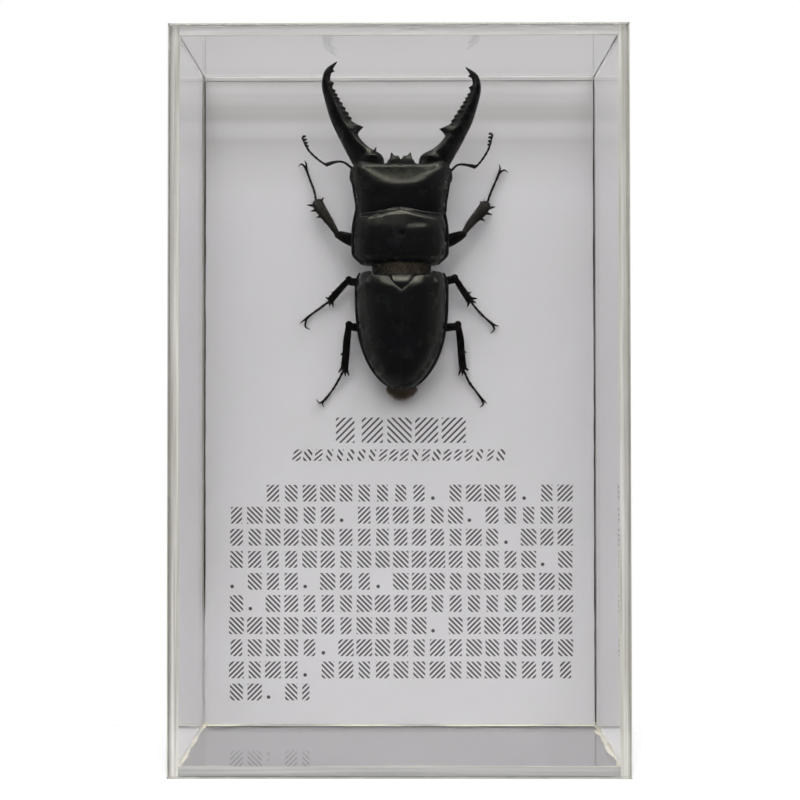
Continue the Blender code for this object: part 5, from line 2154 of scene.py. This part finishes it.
@dataclass
class Beetle:
    """The whole specimen."""

    place: BeetlePlace

    def antennae(self) -> list[Antenna]:
        """Both antennae; they lie a little differently.

        Returns:
            The left one and the right one.
        """
        return [
            Antenna(
                self.place, "antenna_left",
                scape=((-10.5, 24.3, 6.0), (-11.75, 25.2, 6.2), (-12.9, 25.95, 6.6),
                       (-14.2, 26.05, 7.1), (-15.6, 25.7, 7.4), (-17.2, 25.1, 7.5)),
                whip=((-16.9, 25.1, 7.5), (-18.9, 26.5, 7.6), (-21.0, 28.6, 7.6), (-22.4, 31.5, 7.6)),
                leaf_side=1,
            ),
            Antenna(
                self.place, "antenna_right",
                scape=((10.8, 23.8, 6.0), (11.6, 24.5, 6.2), (12.5, 25.25, 6.6),
                       (13.6, 25.35, 7.1), (15.2, 25.05, 7.4), (16.9, 24.6, 7.5)),
                whip=((16.6, 24.5, 7.5), (18.1, 26.2, 7.6), (19.6, 28.7, 7.6), (20.5, 32.0, 7.6)),
                leaf_side=-1,
            ),
        ]

    def legs(self) -> list[Leg]:
        """The six legs, from the left fore leg to the right hind leg.

        Returns:
            The legs.
        """
        return [
            Leg(
                self.place, "fore_leg_left", thigh=((-9.7, 8.3, 4.0), (-12.2, 9.1, 4.6), (-14.9, 10.1, 5.2)),
                thigh_radii=THIGH_FORE,
                shin=((-14.5, 9.9, 4.9), (-16.5, 13.1, 4.2), (-18.6, 16.2, 3.4), (-19.8, 18.5, 2.8)),
                shin_radii=(0.6, 0.95, 1.3, 1.4),
                spines=(
                    ((-20.0, 17.0, 2.6), (-21.9, 17.4, 2.2)), ((-19.4, 16.0, 2.9), (-21.0, 15.9, 2.4)),
                    ((-18.3, 14.5, 3.4), (-19.6, 14.3, 3.0)), ((-18.8, 17.8, 2.4), (-18.0, 19.3, 1.8)),
                ),
                foot=((-19.7, 18.0, 2.2), (-20.4, 21.2, 1.3), (-21.6, 24.3, 1.0), (-22.3, 26.6, 1.0)),
                claws=(
                    ((-22.2, 26.1, 1.0), (-23.2, 27.2, 1.0), (-24.1, 26.7, 0.6)),
                    ((-22.2, 26.1, 1.0), (-22.2, 27.3, 1.0), (-22.6, 28.2, 0.6)),
                ),
            ),
            Leg(
                self.place, "fore_leg_right", thigh=((9.2, 8.0, 4.0), (11.7, 9.0, 4.6), (14.4, 10.1, 5.2)),
                thigh_radii=THIGH_FORE,
                shin=((14.0, 10.0, 4.9), (15.9, 12.8, 4.2), (18.2, 15.4, 3.4), (19.9, 17.9, 2.8)),
                shin_radii=(0.6, 0.95, 1.3, 1.35),
                spines=(
                    ((20.0, 16.4, 2.6), (21.7, 16.9, 2.2)), ((19.2, 15.3, 2.9), (20.9, 15.0, 2.4)),
                    ((17.9, 14.0, 3.4), (19.2, 13.4, 3.0)), ((18.7, 17.0, 2.5), (18.1, 18.3, 2.0)),
                ),
                foot=((19.7, 17.5, 2.2), (20.7, 20.4, 1.3), (21.9, 23.1, 1.0), (22.9, 25.6, 1.0)),
                claws=(
                    ((22.8, 25.1, 1.0), (22.9, 26.2, 1.0), (22.7, 27.2, 0.6)),
                    ((22.8, 25.1, 1.0), (23.9, 25.7, 1.0), (24.9, 25.2, 0.6)),
                ),
            ),
            Leg(
                self.place, "mid_leg_left", thigh=((-9.8, -0.8, 2.7), (-11.0, -0.6, 3.0), (-12.6, -0.5, 3.4)),
                thigh_radii=THIGH_REAR, shin=((-12.1, -0.1, 3.4), (-14.4, -2.4, 2.7), (-16.8, -5.0, 1.9)),
                shin_radii=(0.65, 0.75, 0.85),
                spines=(
                    ((-15.1, -3.2, 2.4), (-16.3, -2.7, 2.2)), ((-16.4, -4.5, 2.0), (-17.7, -3.9, 1.8)),
                    ((-16.2, -4.7, 2.0), (-15.8, -6.2, 1.5)), ((-16.6, -4.8, 2.0), (-16.7, -6.1, 1.4)),
                ),
                foot=((-16.6, -4.8, 1.9), (-18.7, -6.2, 1.2), (-20.7, -7.6, 1.0), (-22.4, -9.0, 1.0)),
                claws=(
                    ((-22.1, -8.8, 1.0), (-22.9, -9.3, 0.9), (-23.8, -9.9, 0.6)),
                    ((-22.1, -8.8, 1.0), (-22.4, -10.6, 1.0), (-21.3, -11.3, 0.6)),
                ),
            ),
            Leg(
                self.place, "mid_leg_right", thigh=((9.8, -0.5, 2.7), (11.0, -0.2, 3.0), (12.7, 0.0, 3.4)),
                thigh_radii=THIGH_REAR, shin=((12.2, 0.3, 3.4), (14.1, -2.5, 2.7), (16.1, -5.2, 1.9)),
                shin_radii=(0.65, 0.75, 0.85),
                spines=(
                    ((14.9, -3.2, 2.4), (16.1, -2.9, 2.2)), ((15.9, -4.3, 2.0), (17.5, -4.3, 1.8)),
                    ((15.9, -4.8, 2.0), (17.3, -5.3, 1.6)), ((15.6, -4.9, 2.0), (15.2, -6.3, 1.5)),
                ),
                foot=((15.9, -4.9, 1.9), (17.6, -6.9, 1.2), (19.5, -8.8, 1.0), (21.2, -10.2, 1.0)),
                claws=(
                    ((20.9, -10.0, 1.0), (21.8, -10.4, 0.9), (22.7, -10.6, 0.6)),
                    ((20.9, -10.0, 1.0), (21.5, -11.3, 1.0), (20.6, -12.3, 0.6)),
                ),
            ),
            Leg(
                self.place, "hind_leg_left",
                thigh=((-9.5, -11.15, 2.7), (-10.6, -11.0, 3.0), (-12.3, -10.9, 3.4)), thigh_radii=THIGH_REAR,
                shin=((-12.1, -10.4, 3.4), (-12.6, -13.9, 2.8), (-12.9, -17.4, 2.3), (-13.3, -21.0, 1.9)),
                shin_radii=SHIN_HIND,
                spines=(
                    ((-13.1, -16.6, 2.3), (-14.2, -17.4, 2.1)), ((-13.7, -20.2, 2.0), (-14.7, -21.4, 1.7)),
                    ((-12.8, -20.4, 2.0), (-12.2, -22.2, 1.5)), ((-13.2, -20.6, 2.0), (-13.0, -22.3, 1.4)),
                ),
                foot=((-13.3, -20.6, 1.9), (-14.9, -23.5, 1.2), (-16.5, -26.0, 1.0), (-18.1, -27.9, 1.0)),
                claws=(
                    ((-17.8, -27.6, 1.0), (-19.1, -28.4, 1.0), (-19.9, -27.4, 0.6)),
                    ((-17.8, -27.6, 1.0), (-18.4, -28.5, 0.9), (-18.1, -29.4, 0.6)),
                ),
            ),
            Leg(
                self.place, "hind_leg_right",
                thigh=((9.5, -11.1, 2.7), (11.0, -11.0, 3.0), (13.1, -10.9, 3.4)), thigh_radii=THIGH_REAR,
                shin=((12.9, -10.4, 3.4), (13.5, -13.9, 2.8), (13.8, -17.4, 2.3), (14.2, -21.0, 1.9)),
                shin_radii=SHIN_HIND,
                spines=(
                    ((13.9, -16.2, 2.3), (15.0, -16.9, 2.1)), ((14.5, -20.2, 2.0), (15.5, -21.0, 1.7)),
                    ((13.7, -20.4, 2.0), (13.1, -22.2, 1.5)), ((14.1, -20.6, 2.0), (14.0, -22.2, 1.4)),
                ),
                foot=((14.2, -20.6, 1.9), (15.5, -23.4, 1.2), (17.1, -25.6, 1.0), (18.7, -27.7, 1.0)),
                claws=(
                    ((18.4, -27.4, 1.0), (19.2, -28.0, 0.9), (19.8, -28.6, 0.6)),
                    ((18.4, -27.4, 1.0), (18.9, -28.7, 1.0), (18.0, -29.5, 0.6)),
                ),
            ),
        ]

    def build(self) -> None:
        """Make and dress every part."""
        black = Chitin().material()
        brown = Chitin(name="brown shell", deep="#0B0A0A", worn="#15100D", roughness=(0.22, 0.32),
                       tint="#F3EAD8", sheen_level=0.08, pit_mm=0.4, pit_depth_mm=0.008).material()
        wings, pronotum = WingCases(self.place), Pronotum(self.place)
        body, legs = HindBody(self.place, wings), self.legs()
        wings.build(black)
        pronotum.build(black)
        Head(self.place, pronotum).build(black)
        Jaws(self.place).build(black)
        body.build(brown)
        for antenna in self.antennae():
            antenna.build(black)
        for leg in legs:
            leg.build(brown)
        Bristles(self.place, body, legs).build()


@dataclass
class Studio:
    """Camera, pale floor and soft light."""

    camera_mm: Point = (0.95, -193.63, 75.65)
    yaw: float = 0.229
    pitch: float = 0.545
    roll: float = 0.057
    lens: float = 39.45
    bank_light: float = 14.0
    top_light: float = 0.8
    side_light: float = 0.3
    room_light: float = 0.52
    back_light: float = 0.12
    darkest: float = 0.02
    bank_rise: tuple[float, float] = (0.44, 0.74)
    bank_turn: tuple[float, float] = (-0.26, -0.62)
    back_rise: tuple[float, float] = (0.05, 0.4)
    back_turn: tuple[float, float] = (0.3, 0.8)
    top_rise: tuple[float, float] = (0.6, 0.95)
    side_turn: tuple[float, float] = (0.5, 0.95)
    room_turn: tuple[float, float] = (-0.75, 0.1)
    floor_edges: tuple[float, float, float, float] = (-110.0, 110.0, -40.0, 15.0)
    floor_gap: float = 0.05
    sensor: float = 36.0
    near: float = 10.0

    def camera(self) -> None:
        """Camera that looks along +Y at the box, as the reference view does."""
        data = bpy.data.cameras.new("camera")
        data.lens = self.lens
        data.sensor_width = self.sensor
        data.clip_start = self.near * MM
        camera = bpy.data.objects.new("camera", data)
        level = Matrix.Rotation(math.radians(90), 4, "X")
        turn = Matrix.Rotation(math.radians(self.yaw), 4, "Z")
        turn = turn @ Matrix.Rotation(math.radians(self.pitch), 4, "X")
        turn = turn @ Matrix.Rotation(math.radians(self.roll), 4, "Y")
        camera.matrix_world = Matrix.Translation(Vector(self.camera_mm) * MM) @ turn @ level
        bpy.context.scene.collection.objects.link(camera)
        bpy.context.scene.camera = camera

    def floor(self) -> None:
        """Plain pale floor, a hair below the box's base."""
        mesh = bpy.data.meshes.new("floor")
        left, right, front, rear = (edge * MM for edge in self.floor_edges)
        level = -self.floor_gap * MM
        corners = [(left, front, level), (right, front, level), (right, rear, level), (left, rear, level)]
        mesh.from_pydata(corners, [], [(0, 1, 2, 3)])
        mesh.materials.append(StudioFloor().material())
        floor = bpy.data.objects.new("floor", mesh)
        bpy.context.scene.collection.objects.link(floor)
        floor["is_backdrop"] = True

    def sky(self) -> None:
        """Light from all round: a broad bank above and in front, soft sides, dark behind the camera."""
        world = bpy.data.worlds.new("studio")
        world.use_nodes = True
        tree = world.node_tree
        tree.nodes.clear()
        way = add_node(tree, "ShaderNodeTexCoord").outputs["Generated"]
        axes = add_node(tree, "ShaderNodeSeparateXYZ", {"Vector": way})
        ahead, up = axes.outputs["Y"], axes.outputs["Z"]
        aside = add_node(tree, MATH, (axes.outputs["X"],), operation="ABSOLUTE")
        bank_up, bank_ahead, back_up, back_ahead, top, sides, room = [
            add_node(
                tree, "ShaderNodeMapRange",
                {"Value": value, "From Min": start, "From Max": end, "To Max": full},
                interpolation_type="SMOOTHSTEP",
            )
            for value, start, end, full in (
                (up, *self.bank_rise, 1.0), (ahead, *self.bank_turn, self.bank_light),
                (up, *self.back_rise, 1.0), (ahead, *self.back_turn, self.back_light),
                (up, *self.top_rise, self.top_light), (aside, *self.side_turn, self.side_light),
                (ahead, *self.room_turn, self.room_light),
            )
        ]
        bank = add_node(tree, MATH, (bank_up, bank_ahead), operation="MULTIPLY")
        back = add_node(tree, MATH, (back_up, back_ahead), operation="MULTIPLY")
        total: Any = self.darkest
        for light in (bank, back, top, sides, room):
            total = add_node(tree, MATH, (light, total), operation="ADD")
        lighting = add_node(tree, "ShaderNodeBackground", {"Color": linear("#FFFFFF"), "Strength": total})
        white = add_node(tree, "ShaderNodeBackground", {"Color": linear("#FFFFFF"), "Strength": 1.0})
        path = add_node(tree, "ShaderNodeLightPath")
        shown = add_node(tree, "ShaderNodeMixShader", (path.outputs["Is Camera Ray"], lighting, white))
        add_node(tree, "ShaderNodeOutputWorld", {"Surface": shown})
        bpy.context.scene.world = world

    def build(self) -> None:
        """Set up the studio."""
        self.camera()
        self.floor()
        self.sky()
        bpy.context.scene.view_settings.view_transform = "Standard"


def main() -> None:
    """Build the box, the card, the beetle and the studio around the frame."""
    logging.basicConfig(level=logging.INFO, format="%(message)s")
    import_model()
    sizes = BoxSizes.from_frame()
    ClearBox(sizes).build()
    CementSeams(sizes).build()
    JointFilms(sizes).build()
    FrostedShadedEdges(sizes, ClearBox.eased).build()
    SpecimenCard(sizes).build()
    Beetle(BeetlePlace.from_frame(WingCases.shield_front_y)).build()
    Studio().build()


if __name__ == "__main__":
    main()
